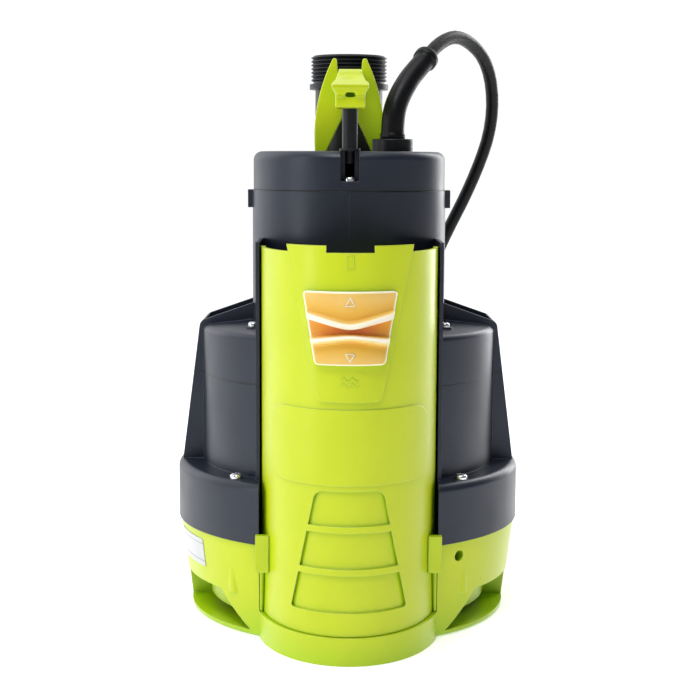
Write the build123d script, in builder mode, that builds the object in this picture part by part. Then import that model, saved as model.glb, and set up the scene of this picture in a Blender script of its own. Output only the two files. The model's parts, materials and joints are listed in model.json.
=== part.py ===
from build123d import *

import os
from math import cos, pi, sin, tan

# Submersible sump pump with a built-in float switch, in millimetres.
# Z is the motor shaft's axis, with z = 0 on the floor. The float chamber faces -Y.

# ---------------------------------------------------------------- heights of the stack
BASE_TOP = 55.0
FLANGE_TOP = 89.0
CASING_SPLIT = 142.0
SHOULDER_TOP = 170.0
NECK_TOP = 249.5
CAP_TOP = 272.0
THREAD_TOP = 332.0

# ---------------------------------------------------------------- radii about the shaft
BASE_FOOT_R = 94.4
BASE_RIM_R = 101.0
FLANGE_R = 102.1
CASING_R = 87.3
NECK_R = 57.4
CAP_R = 56.8
CAP_ROUND = 5.0
CAP_NOTCH = 10.6
CAP_NOTCH_DEEP = 9.5
CAP_NOTCH_FLOOR = 255.0
CAP_SCREW_R = 51.8
CAP_SCREW_ANGLES = (0.0, 110.0, -110.0)
CAP_SCREW_LONG = 5.0
SEAL_THICK = 2.0
CHANNEL_R = 26.0
FLANGE_ROUND = 4.5
SHOULDER_ROUND = 3.5
WALL = 3.0
GAP = 0.3
LUG_OUT = 60.0
LUG_LOW = 239.0
LUG_HALF = 6.0

# ---------------------------------------------------------------- side gussets
GUSSET_FRONT = 12.0
GUSSET_DEPTH = 44.0
GUSSET_WALL = 2.5
GUSSET_CORNER = 4.5
GUSSET_OUTLINE = (
    (45, FLANGE_TOP),
    (99.0, FLANGE_TOP),
    (88.3, 171.8),
    (NECK_R, 182.6),
    (45, 187),
)
GUSSET_POCKET = ((45, 112), (93.4, 112), (85.6, 172), (85.6, 190), (45, 190))

# ---------------------------------------------------------------- float chamber
CHAMBER_Y = -63.0
COVER_HALF = 49.3
COVER_REACH = 66.5
COVER_WALL = 2.5
COVER_BOTTOM = 15.6
COVER_TOP = 219.3
COVER_BACK_Y = -60.5
EAR_TOP = 223.0
NOTCH_HALF = 12.5
PANEL_PROUD = 1.2
PANEL_LOW = 141.6
PANEL_HALF_LOW = 16.8
PANEL_HALF_TOP = 33.5
PANEL_CORNER = 4.2
PLATE_PROUD = 0.7
PLATE_LOW = 97.2
PLATE_TOP = 137.6
PLATE_HALF = 42.0
PLATE_CORNER = 8.0
VENT_LOW = 28.4
VENT_TOP = 94.2
VENT_HALF_LOW = 31.0
VENT_HALF_TOP = 18.0
VENT_CORNER = 5.5
VENT_RIBS = (73.5, 50.4)
VENT_RIB = 3.6
VENT_DEEP = 1.5
CLIP_IN = 44.0
CLIP_OUT = 51.4
CLIP_Y = (-94.5, -90.0)
CLIP_Z = (41.0, 61.5)
LOBE_HALF = 51.6
LOBE_REACH = 68.0
LOBE_TOP = 15.3
POCKET_HALF = 49.7
POCKET_Y = -60.0
STRIP_OUT = 51.8
STRIP_FRONT_Y = -76.0
STRIP_BOTTOM = 62.0
STRIP_TOP = 222.0
STRIP_BACK_Y = -22.5

# ---------------------------------------------------------------- inlet windows
INLET_LOW = 3.0
INLET_HIGH = 24.0
INLET_HALF_LOW = 77.0
INLET_HALF_HIGH = 64.0
DECK_THICK = 3.0
FOOT_EDGE = 1.2
SKIRT_R = 83.0
SKIRT_WALL = 2.4
SKIRT_LOW = 8.0
RIB_HALF = 1.5
VENT_HOLE_R = 3.2
VENT_HOLE_Z = 46.7
VENT_HOLE_ANGLE = 38.5

# ---------------------------------------------------------------- pump chamber and discharge
VOLUTE_R = 54.0
VOLUTE_LOW = 22.0
VOLUTE_TOP = 56.0
EYE_R = 17.0
EYE_LOW = 14.0
DUCT_LOW = 32.0
DUCT_R = 25.0
PIPE_Y = 62.0
PIPE_R = 21.2
PIPE_BORE_R = 17.5
THREAD_R = 23.9
THREAD_ROOT_R = 22.4
THREAD_PITCH = 2.309
THREAD_TURNS = 7
COLLAR_R = 24.8
PIPE_BASE = 40.0

# ---------------------------------------------------------------- motor
SHAFT_R = 6.0
SHAFT_LOW = 21.0
SHAFT_TOP = 209.0
RUNNING = 0.05
CAN_R = 39.8
CAN_WALL = 1.2
CAN_TOP = 196.0
CORE_LOW = 102.0
CORE_TOP = 174.0
STATOR_BORE_R = 22.0
ROTOR_R = 21.4
WINDING_IN_R = 25.0
WINDING_OUT_R = 35.5
WINDING_LENGTH = 12.0
BEARING_R = 14.0
BEARING_HEIGHT = 9.0
LOWER_BEARING_Z = 74.0
UPPER_BEARING_Z = 197.5
IMPELLER_R = 38.0
SEAT_LIP = 2.0
CARRIER_R = 40.4
CARRIER_TOP = 66.0
SHAFT_STUD_R = 4.0
END_RING = 6.0
HUB_R = 10.0
VANE_R = 34.0
VANE_THICK = 2.6
IMPELLER_LOW = 29.0
IMPELLER_TOP = 44.0
VANES = 6
SEAT_R = 13.7
HUB_TOP = IMPELLER_TOP + 2.6
SHROUD_THICK = 2.4
NUT_R = 7.5
SEAL_SPRING_R = 9.2
SEAL_FACE_R = 11.2
SEAL_FACE = 4.0
SEAL_GAP = 0.2
SEAT_GAP = 0.5
CARRIER_GAP = 0.6

# ---------------------------------------------------------------- parts in the neck
CAPACITOR_R = 13.0
CAPACITOR_LONG = 44.0
CAPACITOR_Y = -14.0
CAPACITOR_Z = 229.0
TERMINAL_HALF = 17.0
TERMINAL_Y = (8.0, 20.0)
TERMINAL_Z = (216.0, 230.0)
TERMINAL_APART = 10.0
TERMINAL_HOLE_R = 2.6
TERMINAL_DEEP = 6.0
REED_HALF = 4.0
REED_Y = (-52.8, -48.8)
REED_Z = (172.0, 200.0)

# ---------------------------------------------------------------- float and selector
FLOAT_HALF = 40.0
FLOAT_REACH = 36.0
FLOAT_BACK_Y = -74.0
FLOAT_ROUND = 4.0
LUG_WIDE = 7.0
LUG_Z = (98.0, 110.0)
STALK_X = (-20.0, -12.0)
STALK_TOP = 150.0
MAGNET_R = 3.0
MAGNET_HEIGHT = 6.0
CARRIER_FRONT_Y = -124.4
CARRIER_THICK = 3.0
CARRIER_HALF = 10.0
ARM_X_RANGE = (5.0, 12.0)
ARM_END_Y = -64.0
FLOAT_LOW = 20.0
FLOAT_TOP = 112.0
FLOAT_TRAVEL = 40.0
ROD_Y = -68.0
ROD_R = 3.0
ROD_TOP = 207.0
BRACKET_HALF = 6.0
BRACKET_REACH = 5.0
BRACKET_LOW_Z = (62.0, 66.0)
BRACKET_HIGH_Z = (204.0, 208.0)
SLIDER_LOW = 161.4
SLIDER_TOP = 199.7
SLIDER_HALF_TOP = 24.8
SLIDER_HALF_LOW = 18.5
SLIDER_PROUD = 5.0
RIDGE_PROUD = 8.0
RIDGE_HALF = 30.0
UPPER_RIDGE = (180.2, 187.0, 3.4)
LOWER_RIDGE = (174.8, 171.6, 3.4)
SLIDER_UP = 8.0
SLIDER_DOWN = 5.0
STEM_Z = 180.5
STEM_HEIGHT = 10.0
STEM_HALF = 6.0

# ---------------------------------------------------------------- top fittings
POST_Y = -46.0
POST_R = 4.4
POST_TOP = 295.6
POST_STUD_R = 3.0
POST_FOOT = (6.0, 1.5)
ARCH_FRONT_Y = 8.0
ARCH_BACK_Y = 26.0
ARCH_INNER = 13.7
ARCH_OUTER = 20.6
ARCH_APEX = 301.0
HORN_TOP = 327.4
HORN_BULGE = (19.4, 299.0)
HORN_OUT = 10.6
HORN_MIDDLE = 9.2
HORN_IN = 7.6
SADDLE_TOP = 318.0
GRIP_HALF = 6.6
RAMP_HALF = 10.4
RAMP_LOW = 308.0
RAMP_FRONT_Y = -66.0
RAMP_BACK_Y = -40.0
RAMP_SLOPE = 18.0
RAMP_DROP = 1.5
RAMP_EDGE = 1.8
RAMP_THICK = 4.0
RAMP_LIP = 5.0
WEDGE_TOP = RAMP_LOW - 1.2
WEDGE_LOW = 302.1
WEDGE_LONG = 18.0
GRIP_DEEP = 16.0
WEDGE_HALF_LOW = 7.3
BLOCK_HALF = 8.3
BLOCK_Y = (-62.0, -40.0)
BLOCK_TOP = 303.1
ROPE_SLOT_Z = (301.6, 303.8)
ROPE_SLOT_Y = (-65.0, -56.0)
ROPE_SLOT_HALF = 2.6
DENT_SIZE = (5.0, 5.0, 1.4)
DENT_Y = -54.0
DENT_Z = 312.6
GLAND_X = 25.5
GLAND_Y = -4.0
GLAND_R = 12.0
GLAND_TOP = 279.5
GLAND_NECK_R = 8.0
BOOT_R = 6.9
BOOT_TIP_R = 6.3
BOOT_COLLAR_R = 7.5
BOOT_COLLAR = 2.6

# ---------------------------------------------------------------- supply cable
CORD_R = 4.15
CORD_ROUTE = (
    (46.0, 18, 328),
    (54, 33, 339),
    (71, 60, 346),
    (92, 91, 330),
    (97, 110, 292),
    (84, 121, 252),
    (64, 125, 212),
    (47, 125, 170),
    (36, 122, 128),
    (30, 119, 88),
    (24, 118, 52),
    (8, 118, 21),
    (-20, 119, 4.15),
    (-52, 129, 4.15),
    (-80, 153, 4.15),
    (-93, 185, 4.15),
    (-87, 218, 4.15),
)
COIL_CENTRE = (0.0, 218.0)
COIL_OUT_R = 91.4
COIL_IN_R = 48.6
COIL_HEIGHT = 42.3
COIL_ROUND = 8.0
TIE_HALF = 4.0
TIE_THICK = 1.5
PLUG_PLACE = (24.0, 279.4)
PLUG_BODY = 30.0
PLUG_TAIL = 24.0
PLUG_WIDE = 38.0
PLUG_HIGH = 26.0
PLUG_CORNER = 8.0
PLUG_ROUND = 3.0
PLUG_TAIL_R = 6.2
PIN_LONG = 19.0
PIN_R = 2.4
PIN_APART = 19.0
LABEL_Z = (33.5, 50.0)
LABEL_GAP = 0.02
LABEL_THICK = 0.3
LABEL_ARC = 21.5
LABEL_TURN = -168.0

# ---------------------------------------------------------------- fasteners
SCREW_HEAD_HEIGHT = 2.6
SCREW_SHANK_R = 1.9
FLANGE_SCREW_R = 94.4
FLANGE_SCREW_ANGLES = (42.0, 138.0, -138.0, -42.0)
SHOULDER_SCREW_R = 70.3
SHOULDER_SCREW_ANGLES = (51.3, 128.7, -128.7, -51.3)
SHOULDER_SEAT = 172.1
SCREW_HOLE_R = 2.0
BOSS_R = 4.6
BOSS_GAP = 0.3
SCREW_LONG = 36.0


def half_ellipse(half_width, reach, back_y, centre_y=CHAMBER_Y):
    """Plan outline of the float chamber: straight sides that end in half an ellipse towards -Y."""
    with BuildLine() as outline:
        nose = EllipticalCenterArc(
            (0, centre_y), half_width, reach, start_angle=180, arc_size=180
        )
        Polyline(nose @ 1, (half_width, back_y), (-half_width, back_y), nose @ 0)
    make_face(outline.edges())


def from_front(angle, radius):
    """A point at this radius, at an angle in degrees about the shaft from the front, towards +X."""
    turn = angle * pi / 180
    return (radius * sin(turn), -radius * cos(turn))


def base_radius(height):
    """The base wall's outer radius at a height above the floor."""
    slope = (BASE_RIM_R - BASE_FOOT_R) / (BASE_TOP - FOOT_EDGE)
    return BASE_FOOT_R + slope * (height - FOOT_EDGE)


def ring(outer, inner):
    """A flat ring in the open sketch."""
    Circle(outer)
    Circle(inner, mode=Mode.SUBTRACT)


def pan_head_screws(places, seat, length, head_r=3.7):
    """Cross-recessed pan-head screws that stand on a seat height and reach down by length."""
    with BuildPart() as screws:
        boss(places, head_r, seat, seat + SCREW_HEAD_HEIGHT)
        fillet(faces().group_by(Axis.Z)[-1].edges(), SCREW_HEAD_HEIGHT * 0.6)
        with BuildSketch(Plane.XY.offset(seat + SCREW_HEAD_HEIGHT)):
            with Locations(*places):
                Rectangle(head_r * 1.2, 0.9)
                Rectangle(0.9, head_r * 1.2)
        extrude(amount=-SCREW_HEAD_HEIGHT * 0.55, mode=Mode.SUBTRACT)
        boss(places, SCREW_SHANK_R, seat - length, seat)
    return screws


def boss(places, radius, low, high):
    """Round posts that take screws."""
    with BuildSketch(Plane.XY.offset(low)) as posts:
        with Locations(*places):
            Circle(radius)
    extrude(posts.sketch, amount=high - low)


def drill(places, radius, low, high):
    """Straight holes between two heights."""
    with BuildSketch(Plane.XY.offset(low)) as holes:
        with Locations(*places):
            Circle(radius)
    extrude(holes.sketch, amount=high - low, mode=Mode.SUBTRACT)


def block(x_range, y_range, z_range, mode=Mode.ADD):
    """A straight-sided block between two X, two Y and two Z values."""
    with BuildSketch(Plane.XY.offset(z_range[0])) as plan:
        with Locations(((x_range[0] + x_range[1]) / 2, (y_range[0] + y_range[1]) / 2)):
            Rectangle(x_range[1] - x_range[0], y_range[1] - y_range[0])
    extrude(plan.sketch, amount=z_range[1] - z_range[0], mode=mode)


def turned(points, mode=Mode.ADD):
    """A solid of revolution about the shaft, from (radius, height) points."""
    with BuildSketch(Plane.XZ) as profile:
        Polygon(*points, align=None)
    revolve(profile.sketch, axis=Axis.Z, mode=mode)


def chamber_outline(grow, back_y, low, high, mode=Mode.ADD):
    """The float chamber's plan outline, grown all round, between two heights."""
    with BuildSketch(Plane.XY.offset(low)) as plan:
        half_ellipse(COVER_HALF + grow, COVER_REACH + grow, back_y)
    extrude(plan.sketch, amount=high - low, mode=mode)


def hollow_of(points, low, high):
    """The space inside a casing: a turned core with the chamber's recess left out of it."""
    with BuildPart() as core:
        turned(points)
        edge = POCKET_HALF + WALL
        block((-edge, edge), (-FLANGE_R - WALL, POCKET_Y + WALL), (low, high), mode=Mode.SUBTRACT)
    return core.part


def gussets(keep):
    """The two hollow side gussets, above or below the casing's split."""
    with BuildPart() as pair:
        with BuildSketch(Plane.XZ.offset(GUSSET_FRONT)) as side:
            Polygon(*GUSSET_OUTLINE, align=None)
            fillet(side.vertices().sort_by(Axis.Y)[-3:-2], GUSSET_CORNER)
        extrude(amount=-GUSSET_DEPTH)
        with BuildSketch(Plane.XZ.offset(GUSSET_FRONT - GUSSET_WALL)):
            Polygon(*GUSSET_POCKET, align=None)
        extrude(amount=-(GUSSET_DEPTH - 2 * GUSSET_WALL), mode=Mode.SUBTRACT)
        mirror(about=Plane.YZ)
        split(bisect_by=Plane.XY.offset(CASING_SPLIT), keep=keep)
    return pair.part


flange_places = [from_front(angle, FLANGE_SCREW_R) for angle in FLANGE_SCREW_ANGLES]
shoulder_places = [from_front(angle, SHOULDER_SCREW_R) for angle in SHOULDER_SCREW_ANGLES]


# ---------------------------------------------------------------- base strainer
base_space = hollow_of(
    ((0, INLET_LOW), (BASE_FOOT_R - WALL, INLET_LOW), (BASE_RIM_R - WALL, BASE_TOP), (0, BASE_TOP)),
    LOBE_TOP,
    BASE_TOP,
)
with BuildPart() as base_strainer:
    turned(
        (
            (0, 0),
            (BASE_FOOT_R - FOOT_EDGE, 0),
            (BASE_FOOT_R, FOOT_EDGE),
            (BASE_RIM_R, BASE_TOP),
            (0, BASE_TOP),
        )
    )
    block(
        (-POCKET_HALF, POCKET_HALF),
        (-FLANGE_R - WALL, POCKET_Y),
        (LOBE_TOP, BASE_TOP),
        mode=Mode.SUBTRACT,
    )
    with BuildSketch(Plane.XY):
        half_ellipse(LOBE_HALF, LOBE_REACH, POCKET_Y)
    extrude(amount=LOBE_TOP)
    add(base_space, mode=Mode.SUBTRACT)
    with BuildSketch(Plane.XY.offset(INLET_LOW)):
        half_ellipse(LOBE_HALF - WALL, LOBE_REACH - WALL, POCKET_Y + WALL)
    extrude(amount=LOBE_TOP - INLET_LOW, mode=Mode.SUBTRACT)
    with BuildSketch(Plane.YZ.offset(LOBE_HALF + 1.5)):
        Polygon(
            (-INLET_HALF_LOW, INLET_LOW),
            (INLET_HALF_LOW, INLET_LOW),
            (INLET_HALF_HIGH, INLET_HIGH),
            (-INLET_HALF_HIGH, INLET_HIGH),
            align=None,
        )
    window = extrude(amount=BASE_RIM_R, mode=Mode.SUBTRACT)
    mirror(window, about=Plane.YZ, mode=Mode.SUBTRACT)
    with BuildSketch(Plane.XY.offset(INLET_HIGH)):
        Circle(BASE_FOOT_R + 1.0)
        Circle(VOLUTE_R + GAP, mode=Mode.SUBTRACT)
        with Locations((0, PIPE_Y)):
            Circle(DUCT_R + GAP, mode=Mode.SUBTRACT)
        with Locations((0, POCKET_Y + WALL - BASE_RIM_R)):
            Rectangle(2 * (POCKET_HALF + WALL), 2 * BASE_RIM_R, mode=Mode.SUBTRACT)
    extrude(amount=DECK_THICK)
    boss(flange_places, BOSS_R, INLET_HIGH, BASE_TOP)
    drill(flange_places, SCREW_HOLE_R, INLET_HIGH + DECK_THICK, BASE_TOP)
    with BuildSketch(Plane.XY.offset(SKIRT_LOW)):
        ring(SKIRT_R, SKIRT_R - SKIRT_WALL)
        with Locations((0, POCKET_Y + WALL - BASE_RIM_R)):
            Rectangle(2 * (POCKET_HALF + WALL), 2 * BASE_RIM_R, mode=Mode.SUBTRACT)
    extrude(amount=INLET_HIGH - SKIRT_LOW)
    with BuildSketch(Plane.XZ):
        Polygon(
            (SKIRT_R - SKIRT_WALL, INLET_LOW),
            (base_radius(INLET_LOW), INLET_LOW),
            (base_radius(INLET_HIGH), INLET_HIGH),
            (SKIRT_R - SKIRT_WALL, INLET_HIGH),
            align=None,
        )
    rib = extrude(amount=RIB_HALF, both=True)
    mirror(rib, about=Plane.YZ)
    hole_out = Vector(*from_front(VENT_HOLE_ANGLE, 1), 0)
    hole_place = hole_out * BASE_RIM_R + Vector(0, 0, VENT_HOLE_Z)
    with Locations(Plane(origin=hole_place, z_dir=hole_out)):
        Hole(VENT_HOLE_R, depth=4 * WALL)

# ---------------------------------------------------------------- lower casing
lower_space = hollow_of(
    (
        (0, BASE_TOP + WALL),
        (FLANGE_R - WALL, BASE_TOP + WALL),
        (FLANGE_R - WALL, FLANGE_TOP - WALL),
        (CASING_R - WALL, FLANGE_TOP - WALL),
        (CASING_R - WALL, CASING_SPLIT),
        (0, CASING_SPLIT),
    ),
    BASE_TOP,
    CASING_SPLIT,
)
lower_gussets = gussets(Keep.BOTTOM)
with BuildPart() as lower_casing:
    with BuildSketch(Plane.XZ):
        with BuildLine():
            Polyline(
                (CASING_R, FLANGE_TOP),
                (CASING_R, CASING_SPLIT),
                (0, CASING_SPLIT),
                (0, BASE_TOP),
                (FLANGE_R, BASE_TOP),
                (FLANGE_R, FLANGE_TOP - FLANGE_ROUND),
            )
            RadiusArc(
                (FLANGE_R, FLANGE_TOP - FLANGE_ROUND),
                (FLANGE_R - FLANGE_ROUND, FLANGE_TOP),
                -FLANGE_ROUND,
            )
            Line((FLANGE_R - FLANGE_ROUND, FLANGE_TOP), (CASING_R, FLANGE_TOP))
        make_face()
    revolve(axis=Axis.Z)
    add(lower_gussets)
    block(
        (-POCKET_HALF, POCKET_HALF),
        (-FLANGE_R - WALL, POCKET_Y),
        (BASE_TOP, CASING_SPLIT),
        mode=Mode.SUBTRACT,
    )
    add(lower_space, mode=Mode.SUBTRACT)
    for side in (-1, 1):
        edges_x = sorted((side * POCKET_HALF, side * STRIP_OUT))
        block(edges_x, (STRIP_FRONT_Y, POCKET_Y), (STRIP_BOTTOM, CASING_SPLIT))
    boss(flange_places, BOSS_R, BASE_TOP, FLANGE_TOP - WALL)
    drill(flange_places, SCREW_HOLE_R, BASE_TOP, FLANGE_TOP)
    boss(shoulder_places, BOSS_R, BASE_TOP + WALL, CASING_SPLIT - BOSS_GAP)
    drill(shoulder_places, SCREW_HOLE_R, CASING_SPLIT - SCREW_LONG, CASING_SPLIT)
    block((-BRACKET_HALF, BRACKET_HALF), (ROD_Y - BRACKET_REACH, POCKET_Y), BRACKET_LOW_Z)
    drill([(0, ROD_Y)], ROD_R + RUNNING, BRACKET_LOW_Z[0] + 1, BRACKET_LOW_Z[1])
    drill([(0, 0)], SEAT_R + GAP, BASE_TOP, BASE_TOP + WALL)
    drill([(0, PIPE_Y)], PIPE_R + GAP, BASE_TOP, BASE_TOP + WALL)

# ---------------------------------------------------------------- motor housing
upper_space = hollow_of(
    (
        (0, CASING_SPLIT),
        (CASING_R - WALL, CASING_SPLIT),
        (CASING_R - WALL, SHOULDER_TOP - WALL),
        (NECK_R - WALL, SHOULDER_TOP),
        (NECK_R - WALL, NECK_TOP),
        (0, NECK_TOP),
    ),
    CASING_SPLIT,
    SHOULDER_TOP + WALL,
)
upper_gussets = gussets(Keep.TOP)
with BuildPart() as motor_housing:
    with BuildSketch(Plane.XZ):
        with BuildLine():
            Polyline(
                (CASING_R - SHOULDER_ROUND, SHOULDER_TOP),
                (NECK_R, SHOULDER_TOP + WALL),
                (NECK_R, NECK_TOP),
                (0, NECK_TOP),
                (0, CASING_SPLIT),
                (CASING_R, CASING_SPLIT),
                (CASING_R, SHOULDER_TOP - SHOULDER_ROUND),
            )
            RadiusArc(
                (CASING_R, SHOULDER_TOP - SHOULDER_ROUND),
                (CASING_R - SHOULDER_ROUND, SHOULDER_TOP),
                -SHOULDER_ROUND,
            )
        make_face()
    revolve(axis=Axis.Z)
    add(upper_gussets)
    boss([(0, PIPE_Y)], CHANNEL_R, CASING_SPLIT, NECK_TOP)
    block(
        (-POCKET_HALF, POCKET_HALF),
        (-FLANGE_R - WALL, POCKET_Y),
        (CASING_SPLIT, SHOULDER_TOP + WALL),
        mode=Mode.SUBTRACT,
    )
    add(upper_space, mode=Mode.SUBTRACT)
    drill([(0, PIPE_Y)], CHANNEL_R - WALL, CASING_SPLIT, NECK_TOP)
    for side in (-1, 1):
        edges_x = sorted((side * POCKET_HALF, side * STRIP_OUT))
        block(edges_x, (STRIP_FRONT_Y, POCKET_Y), (CASING_SPLIT, SHOULDER_TOP))
        block(edges_x, (STRIP_FRONT_Y, STRIP_BACK_Y), (SHOULDER_TOP, STRIP_TOP))
        lug_x = sorted((side * (NECK_R - WALL / 2), side * LUG_OUT))
        block(lug_x, (-LUG_HALF, LUG_HALF), (LUG_LOW, NECK_TOP))
    boss(shoulder_places, BOSS_R, CASING_SPLIT + BOSS_GAP, SHOULDER_SEAT)
    drill(shoulder_places, SCREW_HOLE_R, CASING_SPLIT, SHOULDER_SEAT + WALL)
    block((-BRACKET_HALF, BRACKET_HALF), (ROD_Y - BRACKET_REACH, -NECK_R + 1), BRACKET_HIGH_Z)
    drill([(0, ROD_Y)], ROD_R + RUNNING, BRACKET_HIGH_Z[0], BRACKET_HIGH_Z[1] - 1)


# ---------------------------------------------------------------- top cap
def cap_outline(grow):
    """The neck's circle with a rear lobe round the discharge pipe, in the open sketch."""
    Circle(CAP_R + grow)
    with Locations((0, PIPE_Y)):
        Circle(CHANNEL_R + grow)


def notch_cutter(grow):
    """Upright notches for the cap screws, open to the top and to the outside."""
    with BuildPart() as cutter:
        with BuildSketch(Plane.XY.offset(CAP_NOTCH_FLOOR - grow)):
            for angle in CAP_SCREW_ANGLES:
                with Locations(Location(from_front(angle, CAP_R), angle)):
                    Rectangle(CAP_NOTCH + 2 * grow, 2 * (CAP_NOTCH_DEEP + grow))
        extrude(amount=CAP_TOP)
    return cutter.part


cap_places = [from_front(angle, CAP_SCREW_R) for angle in CAP_SCREW_ANGLES]
with BuildPart() as cap_space:
    with BuildSketch(Plane.XY.offset(NECK_TOP)):
        cap_outline(-WALL)
    extrude(amount=CAP_TOP - NECK_TOP - WALL)
    add(notch_cutter(WALL * 0.8), mode=Mode.SUBTRACT)
with BuildPart() as top_cap:
    with BuildSketch(Plane.XY.offset(NECK_TOP)):
        cap_outline(0)
    extrude(amount=CAP_TOP - NECK_TOP)
    fillet(faces().sort_by(Axis.Z)[-1].edges(), CAP_ROUND)
    add(notch_cutter(0), mode=Mode.SUBTRACT)
    add(cap_space.part, mode=Mode.SUBTRACT)
    drill(cap_places, SCREW_HOLE_R, NECK_TOP, CAP_NOTCH_FLOOR + 1)
    drill([(0, PIPE_Y)], PIPE_R + GAP, NECK_TOP, CAP_TOP + 1)
    drill([(GLAND_X, GLAND_Y)], GLAND_NECK_R, NECK_TOP, CAP_TOP + 1)
    drill([(0, POST_Y)], POST_STUD_R, NECK_TOP, CAP_TOP + 1)
cap_screws = pan_head_screws(cap_places, CAP_NOTCH_FLOOR, CAP_SCREW_LONG)

# ---------------------------------------------------------------- casing screws and seals
flange_screws = pan_head_screws(flange_places, FLANGE_TOP, SCREW_LONG)
shoulder_screws = pan_head_screws(shoulder_places, SHOULDER_SEAT, SCREW_LONG, head_r=3.0)
with BuildPart() as cap_gasket:
    with BuildSketch(Plane.XY.offset(NECK_TOP - SEAL_THICK)):
        ring(NECK_R - WALL, NECK_R - WALL - SEAL_THICK)
        with Locations((0, PIPE_Y)):
            Circle(CHANNEL_R - WALL, mode=Mode.SUBTRACT)
    extrude(amount=SEAL_THICK)
with BuildPart() as casing_seal:
    with BuildSketch(Plane.XY.offset(CASING_SPLIT - SEAL_THICK / 2)):
        ring(CASING_R - WALL, CASING_R - WALL - SEAL_THICK)
        with Locations((0, POCKET_Y + WALL - CASING_R)):
            Rectangle(2 * (POCKET_HALF + WALL), 2 * CASING_R, mode=Mode.SUBTRACT)
        with Locations((0, PIPE_Y)):
            Circle(PIPE_R + 1, mode=Mode.SUBTRACT)
    extrude(amount=SEAL_THICK)
with BuildPart() as volute_seal:
    with BuildSketch(Plane.XY.offset(BASE_TOP - SEAL_THICK)):
        ring(VOLUTE_R + SEAL_THICK, VOLUTE_R)
        with Locations((0, PIPE_Y)):
            Circle(DUCT_R, mode=Mode.SUBTRACT)
    extrude(amount=SEAL_THICK)

# ---------------------------------------------------------------- volute and discharge
with BuildPart() as volute_casing:
    boss([(0, 0)], VOLUTE_R, VOLUTE_LOW, BASE_TOP)
    boss([(0, PIPE_Y)], DUCT_R, DUCT_LOW, BASE_TOP)
    boss([(0, 0)], EYE_R + WALL, EYE_LOW, VOLUTE_LOW)
    drill([(0, 0)], VOLUTE_R - WALL, VOLUTE_LOW + WALL, BASE_TOP)
    drill([(0, PIPE_Y)], PIPE_R + GAP, DUCT_LOW + WALL, BASE_TOP)
    drill([(0, 0)], EYE_R, EYE_LOW, VOLUTE_LOW + WALL)
with BuildPart() as discharge_pipe:
    with BuildSketch(Plane.XZ.offset(-PIPE_Y)) as pipe_section:
        thread_low = THREAD_TOP - THREAD_TURNS * THREAD_PITCH
        with BuildLine():
            points = [(PIPE_BORE_R, THREAD_TOP), (PIPE_BORE_R, PIPE_BASE), (PIPE_R, PIPE_BASE)]
            points += [(PIPE_R, thread_low - 5.0), (COLLAR_R, thread_low - 4.6)]
            points += [(COLLAR_R, thread_low - 1.4), (THREAD_ROOT_R, thread_low - 1.0)]
            for turn in range(THREAD_TURNS):
                foot = thread_low + turn * THREAD_PITCH
                points += [(THREAD_ROOT_R, foot + 0.1), (THREAD_R, foot + THREAD_PITCH / 2 - 0.2)]
                points += [(THREAD_R, foot + THREAD_PITCH / 2 + 0.2)]
            points += [(THREAD_ROOT_R, THREAD_TOP - 0.4), (THREAD_ROOT_R, THREAD_TOP)]
            Polyline(*points, close=True)
        make_face()
    revolve(axis=Axis((0, PIPE_Y, 0), (0, 0, 1)))

# ---------------------------------------------------------------- motor
with BuildPart() as seal_carrier:
    turned(
        (
            (SHAFT_R + CARRIER_GAP, BASE_TOP + WALL + SEAT_LIP),
            (SEAT_R, BASE_TOP + WALL + SEAT_LIP),
            (SEAT_R, BASE_TOP + WALL),
            (CARRIER_R, BASE_TOP + WALL),
            (CARRIER_R, CARRIER_TOP),
            (BEARING_R + WALL, CARRIER_TOP),
            (BEARING_R + WALL, LOWER_BEARING_Z + BEARING_HEIGHT),
            (BEARING_R, LOWER_BEARING_Z + BEARING_HEIGHT),
            (BEARING_R, LOWER_BEARING_Z),
            (SHAFT_R + 2, LOWER_BEARING_Z),
            (SHAFT_R + 2, CARRIER_TOP),
            (SHAFT_R + CARRIER_GAP, CARRIER_TOP),
        )
    )
with BuildPart() as seal_seat:
    turned(
        (
            (SHAFT_R + SEAT_GAP, BASE_TOP + SEAL_GAP),
            (SEAT_R, BASE_TOP + SEAL_GAP),
            (SEAT_R, BASE_TOP + WALL + SEAT_LIP),
            (SHAFT_R + SEAT_GAP, BASE_TOP + WALL + SEAT_LIP),
        )
    )
with BuildPart() as seal_head:
    turned(
        (
            (SHAFT_R, HUB_TOP),
            (SEAL_SPRING_R, HUB_TOP),
            (SEAL_SPRING_R, BASE_TOP - SEAL_FACE),
            (SEAL_FACE_R, BASE_TOP - SEAL_FACE),
            (SEAL_FACE_R, BASE_TOP - SEAL_GAP),
            (SHAFT_R, BASE_TOP - SEAL_GAP),
        )
    )
with BuildPart() as motor_can:
    turned(
        (
            (CAN_R - CAN_WALL, CARRIER_TOP),
            (CAN_R, CARRIER_TOP),
            (CAN_R, CAN_TOP),
            (CAN_R - CAN_WALL, CAN_TOP),
        )
    )
with BuildPart() as bearing_bracket:
    turned(
        (
            (SHAFT_R + 2, UPPER_BEARING_Z - 5),
            (CAN_R - CAN_WALL, UPPER_BEARING_Z - 5),
            (CAN_R - CAN_WALL, CAN_TOP),
            (BEARING_R + WALL, CAN_TOP),
            (BEARING_R + WALL, UPPER_BEARING_Z + BEARING_HEIGHT),
            (BEARING_R, UPPER_BEARING_Z + BEARING_HEIGHT),
            (BEARING_R, UPPER_BEARING_Z),
            (SHAFT_R + 2, UPPER_BEARING_Z),
        )
    )
with BuildPart() as lower_bearing:
    with BuildSketch(Plane.XY.offset(LOWER_BEARING_Z)):
        ring(BEARING_R, SHAFT_R + RUNNING)
    extrude(amount=BEARING_HEIGHT)
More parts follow.
